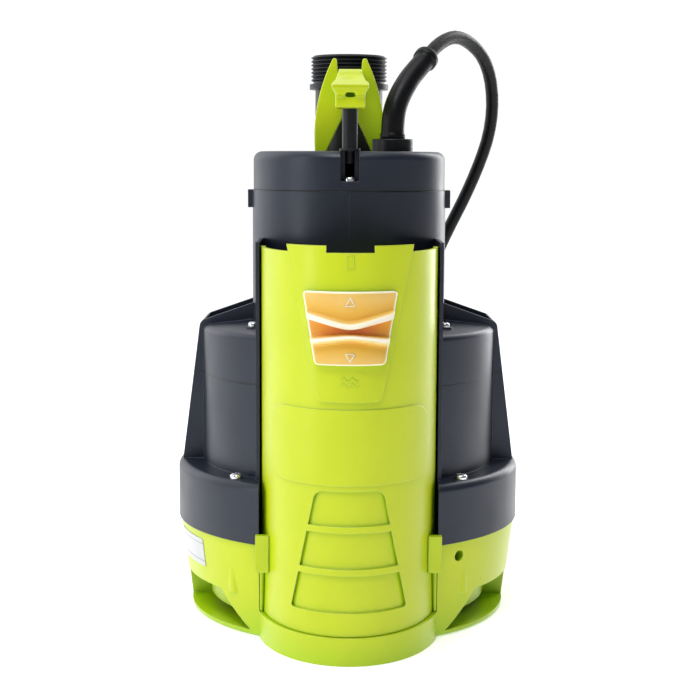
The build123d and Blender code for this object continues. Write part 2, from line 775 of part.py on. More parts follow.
with BuildPart() as upper_bearing:
    with BuildSketch(Plane.XY.offset(UPPER_BEARING_Z)):
        ring(BEARING_R, SHAFT_R + RUNNING)
    extrude(amount=BEARING_HEIGHT)
with BuildPart() as stator_core:
    with BuildSketch(Plane.XY.offset(CORE_LOW)):
        ring(CAN_R - CAN_WALL, STATOR_BORE_R)
    extrude(amount=CORE_TOP - CORE_LOW)
with BuildPart() as stator_winding:
    for foot in (CORE_LOW - WINDING_LENGTH, CORE_TOP):
        with BuildSketch(Plane.XY.offset(foot)):
            ring(WINDING_OUT_R, WINDING_IN_R)
        extrude(amount=WINDING_LENGTH)
with BuildPart() as shaft:
    turned(
        (
            (0, SHAFT_LOW),
            (SHAFT_STUD_R, SHAFT_LOW),
            (SHAFT_STUD_R, IMPELLER_LOW),
            (SHAFT_R, IMPELLER_LOW),
            (SHAFT_R, SHAFT_TOP),
            (0, SHAFT_TOP),
        )
    )
with BuildPart() as rotor_core:
    with BuildSketch(Plane.XY.offset(CORE_LOW)):
        ring(ROTOR_R, SHAFT_R)
    extrude(amount=CORE_TOP - CORE_LOW)
with BuildPart() as rotor_end_rings:
    for foot in (CORE_LOW - END_RING, CORE_TOP):
        with BuildSketch(Plane.XY.offset(foot)):
            ring(ROTOR_R - 1, SHAFT_R + WALL)
        extrude(amount=END_RING)
with BuildPart() as impeller:
    with BuildSketch(Plane.XY.offset(IMPELLER_LOW)):
        ring(HUB_R, SHAFT_R)
    extrude(amount=HUB_TOP - IMPELLER_LOW)
    with BuildSketch(Plane.XY.offset(IMPELLER_TOP)):
        ring(IMPELLER_R, SHAFT_R)
    extrude(amount=SHROUD_THICK)
    with BuildSketch(Plane.XY.offset(IMPELLER_LOW + 1)):
        with PolarLocations(0, VANES):
            with Locations((IMPELLER_R / 2, -VANE_R + 3)):
                SlotArc(CenterArc((0, 0), VANE_R, 62, 58, mode=Mode.PRIVATE), VANE_THICK)
        Circle(IMPELLER_R, mode=Mode.INTERSECT)
        Circle(HUB_R - 1, mode=Mode.SUBTRACT)
    extrude(amount=IMPELLER_TOP - IMPELLER_LOW - 1)
with BuildPart() as impeller_nut:
    with BuildSketch(Plane.XY.offset(SHAFT_LOW + 2)):
        RegularPolygon(NUT_R, 6)
        Circle(SHAFT_STUD_R, mode=Mode.SUBTRACT)
    extrude(amount=IMPELLER_LOW - SHAFT_LOW - 2)

# ---------------------------------------------------------------- electrical parts in the neck
with BuildPart() as start_capacitor:
    with BuildSketch(Plane.YZ.offset(-CAPACITOR_LONG / 2)):
        with Locations((CAPACITOR_Y, CAPACITOR_Z)):
            Circle(CAPACITOR_R)
    extrude(amount=CAPACITOR_LONG)
    fillet(edges().filter_by(GeomType.CIRCLE), 1.2)
with BuildPart() as terminal_block:
    block((-TERMINAL_HALF, TERMINAL_HALF), TERMINAL_Y, TERMINAL_Z)
    with BuildSketch(Plane.XY.offset(TERMINAL_Z[1])):
        with GridLocations(TERMINAL_APART, 1, 3, 1):
            with Locations((0, sum(TERMINAL_Y) / 2)):
                Circle(TERMINAL_HOLE_R)
    extrude(amount=-TERMINAL_DEEP, mode=Mode.SUBTRACT)
with BuildPart() as reed_switch:
    block((-REED_HALF, REED_HALF), REED_Y, REED_Z)

# ---------------------------------------------------------------- float in its chamber
with BuildPart() as guide_rod:
    boss([(0, ROD_Y)], ROD_R, BRACKET_LOW_Z[0] + 1, ROD_TOP)
with BuildPart() as float_body:
    with BuildSketch(Plane.XY.offset(FLOAT_LOW)):
        half_ellipse(FLOAT_HALF, FLOAT_REACH, FLOAT_BACK_Y, centre_y=FLOAT_BACK_Y - 9)
    extrude(amount=FLOAT_TOP - FLOAT_LOW)
    fillet(faces().filter_by(Axis.Z).edges(), FLOAT_ROUND)
    block((-LUG_WIDE, LUG_WIDE), (FLOAT_BACK_Y - 2, ROD_Y + 5), LUG_Z)
    block(STALK_X, (FLOAT_BACK_Y - 6, ROD_Y), (FLOAT_TOP - 4, STALK_TOP))
    drill([(0, ROD_Y)], ROD_R + RUNNING, LUG_Z[0], LUG_Z[1])
with BuildPart() as float_magnet:
    stalk_place = ((STALK_X[0] + STALK_X[1]) / 2, (FLOAT_BACK_Y - 6 + ROD_Y) / 2)
    boss([stalk_place], MAGNET_R, STALK_TOP, STALK_TOP + MAGNET_HEIGHT)

# ---------------------------------------------------------------- float chamber cover
PANEL_OUTLINE = (
    (-PANEL_HALF_LOW, PANEL_LOW),
    (PANEL_HALF_LOW, PANEL_LOW),
    (PANEL_HALF_TOP, EAR_TOP),
    (-PANEL_HALF_TOP, EAR_TOP),
)


def face_band(inner_grow, outer_grow, low, high):
    """A curved sheet that follows the cover's face, between two offsets from its surface."""
    with BuildPart() as sheet:
        chamber_outline(outer_grow, CHAMBER_Y, low, high)
        chamber_outline(inner_grow, CHAMBER_Y, low - 1, high + 1, mode=Mode.SUBTRACT)
    return sheet.part


def stencil(shape, back_y=-80.0, front_y=-140.0):
    """A straight extrusion along Y of a sketch drawn on the XZ plane."""
    return extrude(Plane.XZ.offset(-back_y) * shape, amount=back_y - front_y, mode=Mode.PRIVATE)


def vent_cells():
    """The three recessed cells of the vent grille, drawn on the XZ plane."""
    with BuildSketch(mode=Mode.PRIVATE) as cells:
        with BuildSketch() as outline:
            Polygon(
                (-VENT_HALF_LOW, VENT_LOW),
                (VENT_HALF_LOW, VENT_LOW),
                (VENT_HALF_TOP, VENT_TOP),
                (-VENT_HALF_TOP, VENT_TOP),
                align=None,
            )
            fillet(outline.vertices().group_by(Axis.Y)[-1], VENT_CORNER)
            for height in VENT_RIBS:
                with Locations((0, height)):
                    Rectangle(3 * VENT_HALF_LOW, VENT_RIB, mode=Mode.SUBTRACT)
            fillet(outline.vertices().group_by(Axis.Y)[0], 1.5)
    return cells.sketch


def rounded_outline(points, radius, rounded):
    """A polygon on the XZ plane with its lowest corners, or all of them, rounded."""
    with BuildSketch(mode=Mode.PRIVATE) as shape:
        Polygon(*points, align=None)
        corners = shape.vertices() if rounded == "all" else shape.vertices().group_by(Axis.Y)[0]
        fillet(corners, radius)
    return shape.sketch


panel_shape = rounded_outline(PANEL_OUTLINE, PANEL_CORNER, "low")
plate_shape = rounded_outline(
    (
        (-PLATE_HALF, PLATE_LOW),
        (PLATE_HALF, PLATE_LOW),
        (PLATE_HALF, PLATE_TOP),
        (-PLATE_HALF, PLATE_TOP),
    ),
    PLATE_CORNER,
    "all",
)
panel_sheet = face_band(-COVER_WALL, PANEL_PROUD, PANEL_LOW - 5, EAR_TOP) & stencil(panel_shape)
plate_sheet = face_band(-1, PLATE_PROUD, PLATE_LOW - 5, PLATE_TOP + 5) & stencil(plate_shape)
cell_sheet = face_band(-VENT_DEEP, 5, VENT_LOW - 5, VENT_TOP + 5) & stencil(vent_cells())
with BuildPart() as float_cover:
    chamber_outline(0, COVER_BACK_Y, COVER_BOTTOM, COVER_TOP)
    chamber_outline(
        -COVER_WALL, COVER_BACK_Y, COVER_BOTTOM, COVER_TOP, mode=Mode.SUBTRACT
    )
    add(panel_sheet)
    block((-NOTCH_HALF, NOTCH_HALF), (-140, -100), (COVER_TOP, EAR_TOP), mode=Mode.SUBTRACT)
    add(plate_sheet)
    add(cell_sheet, mode=Mode.SUBTRACT)
    block(
        (-STEM_HALF - GAP, STEM_HALF + GAP),
        (-140, -100),
        (STEM_Z - STEM_HEIGHT / 2 - SLIDER_DOWN - GAP, STEM_Z + STEM_HEIGHT / 2 + SLIDER_UP + GAP),
        mode=Mode.SUBTRACT,
    )
    for side in (-1, 1):
        block(sorted((side * CLIP_IN, side * CLIP_OUT)), CLIP_Y, CLIP_Z)

# ---------------------------------------------------------------- manual and automatic selector
slider_points = (
    (-SLIDER_HALF_LOW, SLIDER_LOW),
    (SLIDER_HALF_LOW, SLIDER_LOW),
    (SLIDER_HALF_TOP, SLIDER_TOP),
    (-SLIDER_HALF_TOP, SLIDER_TOP),
)
slider_shape = rounded_outline(slider_points, 2.0, "all")
slider_sheet = face_band(
    PANEL_PROUD + GAP, SLIDER_PROUD, SLIDER_LOW - 5, SLIDER_TOP + 5
) & stencil(slider_shape)


def ridge(middle, ends, thick):
    """A finger ridge across the selector, as a shallow V on the XZ plane."""
    with BuildSketch(mode=Mode.PRIVATE) as shape:
        Polygon(
            (-RIDGE_HALF, ends),
            (0, middle),
            (RIDGE_HALF, ends),
            (RIDGE_HALF, ends + thick),
            (0, middle + thick),
            (-RIDGE_HALF, ends + thick),
            align=None,
        )
    return shape.sketch


ridge_band = face_band(SLIDER_PROUD - 1, RIDGE_PROUD, SLIDER_LOW, SLIDER_TOP) & stencil(slider_shape)
upper_ridge = ridge_band & stencil(ridge(*UPPER_RIDGE))
lower_ridge = ridge_band & stencil(ridge(*LOWER_RIDGE))
with BuildPart() as mode_slider:
    add(slider_sheet)
    add(upper_ridge)
    add(lower_ridge)
    stem_z = (STEM_Z - STEM_HEIGHT / 2, STEM_Z + STEM_HEIGHT / 2)
    block((-STEM_HALF, STEM_HALF), (CHAMBER_Y - COVER_REACH - 2.5, CARRIER_FRONT_Y), stem_z)
with BuildPart() as slider_carrier:
    block(
        (-CARRIER_HALF, CARRIER_HALF),
        (CARRIER_FRONT_Y, CARRIER_FRONT_Y + CARRIER_THICK),
        (STEM_Z - 14, STEM_Z + 12),
    )
    block(ARM_X_RANGE, (CARRIER_FRONT_Y, ARM_END_Y), (STEM_Z - 4, STEM_Z + 3))
with BuildPart() as slider_magnet:
    arm_end = (sum(ARM_X_RANGE) / 2, ARM_END_Y - 4)
    boss([arm_end], MAGNET_R, STEM_Z + 3, STEM_Z + 3 + MAGNET_HEIGHT)

# ---------------------------------------------------------------- handle on the cap
with BuildPart() as handle_post:
    boss([(0, POST_Y)], POST_R, CAP_TOP, POST_TOP)
    boss([(0, POST_Y)], POST_FOOT[0], CAP_TOP, CAP_TOP + POST_FOOT[1])
    boss([(0, POST_Y)], POST_STUD_R, CAP_TOP - WALL - 4, CAP_TOP)
thumb_dent = Pos(0, DENT_Y, DENT_Z) * Rot(RAMP_SLOPE, 0, 0) * scale(Sphere(1), by=DENT_SIZE)
with BuildPart() as carry_handle:
    with BuildSketch(Plane.XZ.offset(-ARCH_FRONT_Y)):
        with BuildLine():
            foot = Line((ARCH_INNER, CAP_TOP), (ARCH_OUTER, CAP_TOP))
            shoulder = ThreePointArc(foot @ 1, HORN_BULGE, (HORN_OUT, HORN_TOP - 1.5))
            tip = ThreePointArc(shoulder @ 1, (HORN_MIDDLE, HORN_TOP), (HORN_IN, HORN_TOP - 1.0))
            Polyline(tip @ 1, (GRIP_HALF + GAP, SADDLE_TOP), (0, SADDLE_TOP))
            Line((0, SADDLE_TOP), (0, ARCH_APEX))
            Line((0, ARCH_APEX), foot @ 0)
        make_face()
        mirror(about=Plane.YZ)
    extrude(amount=-(ARCH_BACK_Y - ARCH_FRONT_Y))
    with BuildSketch(Plane.YZ.offset(-GRIP_HALF)):
        Polygon(
            (ARCH_FRONT_Y + 1, SADDLE_TOP - GRIP_DEEP),
            (ARCH_FRONT_Y + 1, SADDLE_TOP),
            (RAMP_BACK_Y, SADDLE_TOP),
            (RAMP_BACK_Y - RAMP_THICK, SADDLE_TOP - RAMP_DROP),
            (RAMP_BACK_Y - RAMP_THICK, POST_TOP + RAMP_THICK),
            (RAMP_BACK_Y + RAMP_LIP, SADDLE_TOP - GRIP_DEEP),
            align=None,
        )
    extrude(amount=2 * GRIP_HALF)
    with BuildSketch(Plane.YZ.offset(-RAMP_HALF)):
        Polygon(
            (RAMP_BACK_Y, SADDLE_TOP - RAMP_DROP),
            (RAMP_FRONT_Y, RAMP_LOW),
            (RAMP_FRONT_Y + RAMP_DROP, RAMP_LOW - RAMP_EDGE),
            (RAMP_BACK_Y, RAMP_LOW - RAMP_THICK),
            align=None,
        )
    extrude(amount=2 * RAMP_HALF)
    with BuildSketch(Plane.XY.offset(RAMP_LOW - RAMP_THICK)):
        Polygon(
            (GRIP_HALF, RAMP_BACK_Y),
            (RAMP_HALF + 1, RAMP_BACK_Y),
            (RAMP_HALF + 1, RAMP_FRONT_Y + RAMP_LIP),
            (RAMP_HALF, RAMP_FRONT_Y + RAMP_LIP),
            (RAMP_HALF - RAMP_EDGE, RAMP_FRONT_Y + 2 * RAMP_LIP),
            align=None,
        )
        mirror(about=Plane.YZ)
    extrude(amount=SADDLE_TOP - RAMP_LOW + RAMP_THICK, mode=Mode.SUBTRACT)
    with BuildSketch(Plane.XZ.offset(-RAMP_FRONT_Y - RAMP_DROP)):
        Polygon(
            (-WEDGE_HALF_LOW, WEDGE_LOW),
            (WEDGE_HALF_LOW, WEDGE_LOW),
            (RAMP_HALF, WEDGE_TOP),
            (-RAMP_HALF, WEDGE_TOP),
            align=None,
        )
    extrude(amount=-WEDGE_LONG)
    block((-BLOCK_HALF, BLOCK_HALF), BLOCK_Y, (POST_TOP, BLOCK_TOP))
    block((-ROPE_SLOT_HALF, ROPE_SLOT_HALF), ROPE_SLOT_Y, ROPE_SLOT_Z, mode=Mode.SUBTRACT)
    add(thumb_dent, mode=Mode.SUBTRACT)

# ---------------------------------------------------------------- cable gland and bend relief
with BuildPart() as cable_gland:
    boss([(GLAND_X, GLAND_Y)], GLAND_R, CAP_TOP, GLAND_TOP)
    fillet(faces().sort_by(Axis.Z)[-1].edges(), 0.8)
    boss([(GLAND_X, GLAND_Y)], GLAND_NECK_R, CAP_TOP - WALL - 6, CAP_TOP)
    drill([(GLAND_X, GLAND_Y)], CORD_R, CAP_TOP - WALL - 6, GLAND_TOP)
boot_path_points = (
    (GLAND_X, GLAND_Y, GLAND_TOP),
    (GLAND_X + 1.5, GLAND_Y + 1, GLAND_TOP + 18),
    (GLAND_X + 9, GLAND_Y + 8, GLAND_TOP + 34),
    CORD_ROUTE[0],
)
with BuildPart() as bend_relief:
    with BuildLine():
        boot_curve = Spline(
            boot_path_points[0],
            boot_path_points[1],
            boot_path_points[2],
            boot_path_points[3],
            tangents=((0, 0, 1), Vector(*CORD_ROUTE[1]) - Vector(*CORD_ROUTE[0])),
        )
    stations = (0, 0.25, 0.5, 0.75, 1.0)
    for share in stations:
        with BuildSketch(Plane(boot_curve.location_at(share))):
            Circle(BOOT_R - (BOOT_R - BOOT_TIP_R) * share)
    loft()
    collar_at = 1 - BOOT_COLLAR / boot_curve.length
    with BuildSketch(Plane(boot_curve.location_at(collar_at))):
        Circle(BOOT_COLLAR_R)
    extrude(amount=BOOT_COLLAR)

# ---------------------------------------------------------------- supply cable
def corner_radii(points):
    """The tangent-arc radius of each corner: 0.45 of the shorter run over the half turn's tangent."""
    radii = []
    for before, corner, after in zip(points, points[1:], points[2:]):
        first = Vector(*corner) - Vector(*before)
        second = Vector(*after) - Vector(*corner)
        half_turn = first.get_angle(second) / 2
        radii.append(0.45 * min(first.length, second.length) / tan(half_turn * pi / 180))
    return radii


cord_radii = corner_radii(CORD_ROUTE)
print("cord corner radii in mm:", [round(radius, 1) for radius in cord_radii])
with BuildPart() as cord_run:
    with BuildLine():
        cord_path = FilletPolyline(*CORD_ROUTE, radius=cord_radii)
    with BuildSketch(Plane(cord_path.location_at(0))):
        Circle(CORD_R)
    sweep(path=cord_path)
plain_volume = pi * CORD_R**2 * cord_path.length
print("cord tube length in mm:", round(cord_path.length, 1))
print("its volume over section times length:", round(cord_run.part.volume / plain_volume, 4))
with BuildPart() as cord_coil:
    with BuildSketch(Plane.XY):
        with Locations(COIL_CENTRE):
            ring(COIL_OUT_R, COIL_IN_R)
    extrude(amount=COIL_HEIGHT)
    fillet(edges().filter_by(GeomType.CIRCLE), COIL_ROUND)
with BuildPart() as coil_tie:
    tie_x = (COIL_CENTRE[0] + COIL_IN_R - TIE_THICK, COIL_CENTRE[0] + COIL_OUT_R + TIE_THICK)
    tie_y = (COIL_CENTRE[1] - TIE_HALF, COIL_CENTRE[1] + TIE_HALF)
    block(tie_x, tie_y, (COIL_HEIGHT, COIL_HEIGHT + TIE_THICK))
plug_axis_z = COIL_HEIGHT + PLUG_HIGH / 2
with BuildPart() as plug_body:
    with BuildSketch(Plane.YZ.offset(PLUG_PLACE[0])):
        with Locations((PLUG_PLACE[1], plug_axis_z)):
            RectangleRounded(PLUG_WIDE, PLUG_HIGH, PLUG_CORNER)
    extrude(amount=PLUG_BODY)
    fillet(faces().sort_by(Axis.X)[-1].edges(), PLUG_ROUND)
    with BuildSketch(Plane.YZ.offset(PLUG_PLACE[0])):
        with Locations((PLUG_PLACE[1], plug_axis_z)):
            RectangleRounded(PLUG_WIDE, PLUG_HIGH, PLUG_CORNER)
    with BuildSketch(Plane.YZ.offset(PLUG_PLACE[0] - PLUG_TAIL)):
        with Locations((PLUG_PLACE[1], plug_axis_z)):
            Circle(PLUG_TAIL_R)
    loft()
with BuildPart() as plug_pins:
    with BuildSketch(Plane.YZ.offset(PLUG_PLACE[0] + PLUG_BODY)):
        with Locations((PLUG_PLACE[1], plug_axis_z)):
            with GridLocations(PIN_APART, 1, 2, 1):
                Circle(PIN_R)
    extrude(amount=PIN_LONG)

# ---------------------------------------------------------------- blank label on the base
with BuildPart() as rating_label:
    with BuildSketch(Plane.XZ):
        low_r = base_radius(LABEL_Z[0]) + LABEL_GAP
        high_r = base_radius(LABEL_Z[1]) + LABEL_GAP
        Polygon(
            (low_r, LABEL_Z[0]),
            (low_r + LABEL_THICK, LABEL_Z[0]),
            (high_r + LABEL_THICK, LABEL_Z[1]),
            (high_r, LABEL_Z[1]),
            align=None,
        )
    revolve(axis=Axis.Z, revolution_arc=LABEL_ARC)
rating_label.part = rating_label.part.rotate(Axis.Z, LABEL_TURN)

# ---------------------------------------------------------------- written pieces
pieces = {
    "base_strainer": base_strainer,
    "lower_casing": lower_casing,
    "motor_housing": motor_housing,
    "top_cap": top_cap,
    "cap_screws": cap_screws,
    "flange_screws": flange_screws,
    "shoulder_screws": shoulder_screws,
    "cap_gasket": cap_gasket,
    "casing_seal": casing_seal,
    "volute_seal": volute_seal,
    "volute_casing": volute_casing,
    "discharge_pipe": discharge_pipe,
    "seal_carrier": seal_carrier,
    "seal_seat": seal_seat,
    "seal_head": seal_head,
    "motor_can": motor_can,
    "bearing_bracket": bearing_bracket,
    "lower_bearing": lower_bearing,
    "upper_bearing": upper_bearing,
    "stator_core": stator_core,
    "stator_winding": stator_winding,
    "shaft": shaft,
    "rotor_core": rotor_core,
    "rotor_end_rings": rotor_end_rings,
    "impeller": impeller,
    "impeller_nut": impeller_nut,
    "start_capacitor": start_capacitor,
    "terminal_block": terminal_block,
    "reed_switch": reed_switch,
    "guide_rod": guide_rod,
    "float_body": float_body,
    "float_magnet": float_magnet,
    "float_cover": float_cover,
    "mode_slider": mode_slider,
    "slider_carrier": slider_carrier,
    "slider_magnet": slider_magnet,
    "handle_post": handle_post,
    "carry_handle": carry_handle,
    "cable_gland": cable_gland,
    "bend_relief": bend_relief,
    "cord_run": cord_run,
    "cord_coil": cord_coil,
    "coil_tie": coil_tie,
    "plug_body": plug_body,
    "plug_pins": plug_pins,
    "rating_label": rating_label,
}
os.makedirs("parts", exist_ok=True)
for name, piece in pieces.items():
    piece.part.label = name
    export_step(piece.part, f"parts/{name}.step")
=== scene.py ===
import json
import math

import bpy
from mathutils import Matrix, Vector


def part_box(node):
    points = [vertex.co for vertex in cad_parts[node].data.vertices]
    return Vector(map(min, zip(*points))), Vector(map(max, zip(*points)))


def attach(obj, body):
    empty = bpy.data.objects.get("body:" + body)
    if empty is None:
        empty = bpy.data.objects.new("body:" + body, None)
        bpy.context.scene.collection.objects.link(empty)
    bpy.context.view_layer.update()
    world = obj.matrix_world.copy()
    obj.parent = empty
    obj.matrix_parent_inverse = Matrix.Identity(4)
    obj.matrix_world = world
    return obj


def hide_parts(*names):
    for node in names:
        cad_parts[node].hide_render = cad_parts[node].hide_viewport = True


# Sump pump: looks around the CAD frame. Unless a comment says otherwise, lengths below are in
# millimetres, which MM turns into metres, and angles are in radians.
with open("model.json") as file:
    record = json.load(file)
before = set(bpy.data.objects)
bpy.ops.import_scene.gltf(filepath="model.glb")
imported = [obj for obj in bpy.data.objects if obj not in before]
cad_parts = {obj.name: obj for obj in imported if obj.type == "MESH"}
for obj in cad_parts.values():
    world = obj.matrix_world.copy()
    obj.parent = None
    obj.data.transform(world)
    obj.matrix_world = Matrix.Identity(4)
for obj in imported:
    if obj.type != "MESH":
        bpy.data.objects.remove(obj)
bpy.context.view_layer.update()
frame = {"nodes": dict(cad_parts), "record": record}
scene = bpy.context.scene
nodes = frame["nodes"]
MM = 0.001

# ---------------------------------------------------------------- camera
CAMERA_PLACE = (1 * MM, -900 * MM, 265.3 * MM)
CAMERA_TURN = -0.008
CAMERA_DOWN = 0.124
CAMERA_ROLL = 0.005
CAMERA_LENS = 77.14


def add_camera():
    """A camera at the product view: in front, a little above the middle and looking slightly down."""
    camera = bpy.data.objects.new("camera", bpy.data.cameras.new("camera"))
    scene.collection.objects.link(camera)
    tilt = Matrix.Rotation(math.pi / 2 - CAMERA_DOWN, 4, "X") @ Matrix.Rotation(CAMERA_ROLL, 4, "Z")
    turn = Matrix.Rotation(CAMERA_TURN, 4, "Z")
    camera.matrix_world = turn @ Matrix.Translation(CAMERA_PLACE) @ tilt
    camera.data.lens = CAMERA_LENS
    camera.data.sensor_width = 36.0
    camera.data.clip_end = 20.0
    scene.camera = camera


add_camera()


# ---------------------------------------------------------------- material building blocks
# Sockets of a mix node that mixes colours: its factor and two colours, and its result.
MIX_INPUTS, MIX_RESULT = (0, 6, 7), 2
SEAM_DARK = (0.0015, 0.0018, 0.0030)
SEAM_HALF = 0.38
SHADE_REACH = 30


class Recipe:
    """One procedural material being built, with its textures in the object's own coordinates."""

    def __init__(self, name):
        self.material = bpy.data.materials.new(name)
        self.material.use_nodes = True
        self.tree = self.material.node_tree
        self.shader = self.tree.nodes["Principled BSDF"]
        self.place = self.put("ShaderNodeTexCoord").outputs["Object"]

    def put(self, kind, inputs=None, **settings):
        """Adds a node, sets its properties, and fills or links its inputs."""
        node = self.tree.nodes.new(kind)
        for name, value in settings.items():
            setattr(node, name, value)
        for name, value in (inputs or {}).items():
            self.feed(node.inputs[name], value)
        return node

    def feed(self, socket, value):
        """Links a socket to another node's output, or sets its constant."""
        if isinstance(value, bpy.types.NodeSocket):
            self.tree.links.new(value, socket)
        else:
            socket.default_value = value

    def finish(self, **values):
        """Feeds the shader's sockets, whose names have underscores for spaces here."""
        for name, value in values.items():
            self.feed(self.shader.inputs[name.replace("_", " ")], value)
        return self.material

    def stretched(self, x, y, z):
        """The object's coordinates, scaled along each axis."""
        return self.put("ShaderNodeMapping", {"Vector": self.place, "Scale": (x, y, z)}).outputs[0]

    def noise(self, size, detail=2.0, place=None):
        """Soft noise from 0 to 1, with features about this many millimetres across."""
        inputs = {"Vector": place or self.place, "Scale": 1 / (size * MM), "Detail": detail}
        return self.put("ShaderNodeTexNoise", inputs).outputs[0]

    def spread(self, value, low, high, start=0.3, end=0.7):
        """Maps a value's range onto another one."""
        names = ("Value", "From Min", "From Max", "To Min", "To Max")
        return self.put("ShaderNodeMapRange", dict(zip(names, (value, start, end, low, high)))).outputs[0]

    def ramp(self, factor, *stops):
        """A colour ramp from (position, colour) stops."""
        node = self.put("ShaderNodeValToRGB", {"Fac": factor})
        elements = node.color_ramp.elements
        while len(elements) < len(stops):
            elements.new(0.5)
        for element, (position, colour) in zip(elements, stops):
            element.position = position
            element.color = (*colour, 1)
        return node.outputs["Color"]

    def mixed(self, factor, first, second):
        """Two colours mixed by a factor."""
        node = self.put("ShaderNodeMix", data_type="RGBA")
        for index, value in zip(MIX_INPUTS, (factor, first, second)):
            is_colour = isinstance(value, tuple)
            self.feed(node.inputs[index], (*value, 1) if is_colour else value)
        return node.outputs[MIX_RESULT]

    def rounded(self, radius):
        """Normals that round every edge off by this radius in millimetres."""
        return self.put("ShaderNodeBevel", {"Radius": radius * MM}, samples=4).outputs[0]

    def edge_mask(self, normal, reach=0.25):
        """Is 1 on edges and 0 away from them, from how far the rounded normal leans."""
        flat = self.put("ShaderNodeNewGeometry").outputs["Normal"]
        lean = self.put("ShaderNodeVectorMath", operation="DOT_PRODUCT")
        self.feed(lean.inputs[0], normal)
        self.feed(lean.inputs[1], flat)
        return self.spread(lean.outputs["Value"], 1.0, 0.0, start=1 - reach, end=1.0)

    def bumped(self, height, depth, normal=None, strength=1.0):
        """Normals with relief this many millimetres deep."""
        inputs = {"Height": height, "Distance": depth * MM, "Strength": strength}
        node = self.put("ShaderNodeBump", inputs)
        if normal:
            self.feed(node.inputs["Normal"], normal)
        return node.outputs[0]

    def line_at(self, height, half):
        """Is 1 within this many millimetres of a level of the object, and 0 away from it."""
        level = self.put("ShaderNodeSeparateXYZ", {"Vector": self.place}).outputs["Z"]
        above = self.put("ShaderNodeMath", operation="SUBTRACT")
        self.feed(above.inputs[0], level)
        self.feed(above.inputs[1], height * MM)
        away = self.put("ShaderNodeMath", operation="ABSOLUTE")
        self.feed(away.inputs[0], above.outputs[0])
        return self.spread(away.outputs[0], 1.0, 0.0, start=half * MM, end=2 * half * MM)

    def bands(self, size, direction, distortion=0.0, rings=False):
        """Stripes this many millimetres apart along an axis, or rings about it."""
        settings = {"wave_type": "RINGS" if rings else "BANDS", "wave_profile": "SIN"}
        settings["rings_direction" if rings else "bands_direction"] = direction
        inputs = {"Vector": self.place, "Scale": math.pi / 10 / (size * MM), "Distortion": distortion}
        return self.put("ShaderNodeTexWave", inputs, **settings).outputs["Fac"]


def moulded(name, dark, light, painted_highlight, roughness, grain, depth, round_off=0.7, painted_shade=None, seams=(), **values):
    """Injection-moulded plastic: a mottled colour with painted shade in its corners and a painted highlight
    on its edges, dark in its seams.
    """
    recipe = Recipe(name)
    soft = recipe.rounded(round_off)
    cloudy = recipe.noise(38, detail=4.0)
    body = recipe.ramp(recipe.spread(cloudy, 0.0, 1.0), (0.0, dark), (1.0, light))
    # Painted shade: the colour deepens towards a shade colour where ambient occlusion finds corners and
    # recesses.
    if painted_shade:
        inputs = {"Distance": SHADE_REACH * MM, "Normal": soft}
        open_share = recipe.put("ShaderNodeAmbientOcclusion", inputs, samples=8).outputs["AO"]
        body = recipe.mixed(recipe.spread(open_share, 0.0, 1.0, start=0.25, end=0.92), painted_shade, body)
    # Painted highlight: edges turn towards a paler colour, broken up by noise.
    highlight_mask = recipe.put("ShaderNodeMath", operation="MULTIPLY")
    recipe.feed(highlight_mask.inputs[0], recipe.edge_mask(soft))
    recipe.feed(highlight_mask.inputs[1], recipe.spread(recipe.noise(9, detail=5.0), 0.35, 0.85))
    relief = recipe.bumped(recipe.noise(grain, detail=3.0), depth, soft)
    relief = recipe.bumped(recipe.noise(14, detail=1.0), depth * 5, relief, strength=0.5)
    body = recipe.mixed(highlight_mask.outputs[0], body, painted_highlight)
    for height in seams:
        body = recipe.mixed(recipe.line_at(height, SEAM_HALF), body, SEAM_DARK)
    return recipe.finish(
        Base_Color=body,
        Roughness=recipe.spread(recipe.noise(24, detail=1.0), *roughness, start=0.2, end=0.8),
        Normal=relief,
        **values,
    )


def metal(name, dark, light, roughness, relief, depth, round_off=0.4, **values):
    """A metal surface whose gloss and relief follow one tooling pattern, over a finely mottled tone."""
    recipe = Recipe(name)
    pattern = relief(recipe)
    soft = recipe.rounded(round_off)
    return recipe.finish(
        Base_Color=recipe.ramp(recipe.spread(recipe.noise(2.5, 4.0), 0.0, 1.0), (0.0, dark), (1.0, light)),
        Metallic=1.0,
        Roughness=recipe.spread(pattern, *roughness, start=0.2, end=0.8),
        Normal=recipe.bumped(pattern, depth, soft),
        **values,
    )


# ---------------------------------------------------------------- the object's materials, one per slot
CASING_SEAM, CAP_SEAM = 142.0, 249.5


def housing_black():
    """Charcoal polypropylene with a satin spark-eroded grain."""
    return moulded(
        "housing_black",
        dark=(0.0070, 0.0095, 0.0190),
        light=(0.0110, 0.0145, 0.0270),
        # The next colour is a painted highlight, a pale blue-grey along the edges.
        painted_highlight=(0.075, 0.090, 0.130),
        roughness=(0.32, 0.44),
        grain=0.55,
        depth=0.012,
        seams=(CASING_SEAM, CAP_SEAM),
        Specular_Tint=(0.86, 0.91, 1.0, 1.0),
    )


def lime_plastic():
    """Glossy yellow-green shells."""
    return moulded(
        "lime_plastic",
        dark=(0.520, 0.625, 0.003),
        light=(0.565, 0.665, 0.007),
        # Painted light: a pale highlight along the edges, and a deeper green of painted shade in corners
        # and recesses.
        painted_highlight=(0.80, 0.86, 0.24),
        painted_shade=(0.33, 0.56, 0.002),
        roughness=(0.27, 0.36),
        grain=1.4,
        depth=0.0025,
        Specular_IOR_Level=0.42,
    )


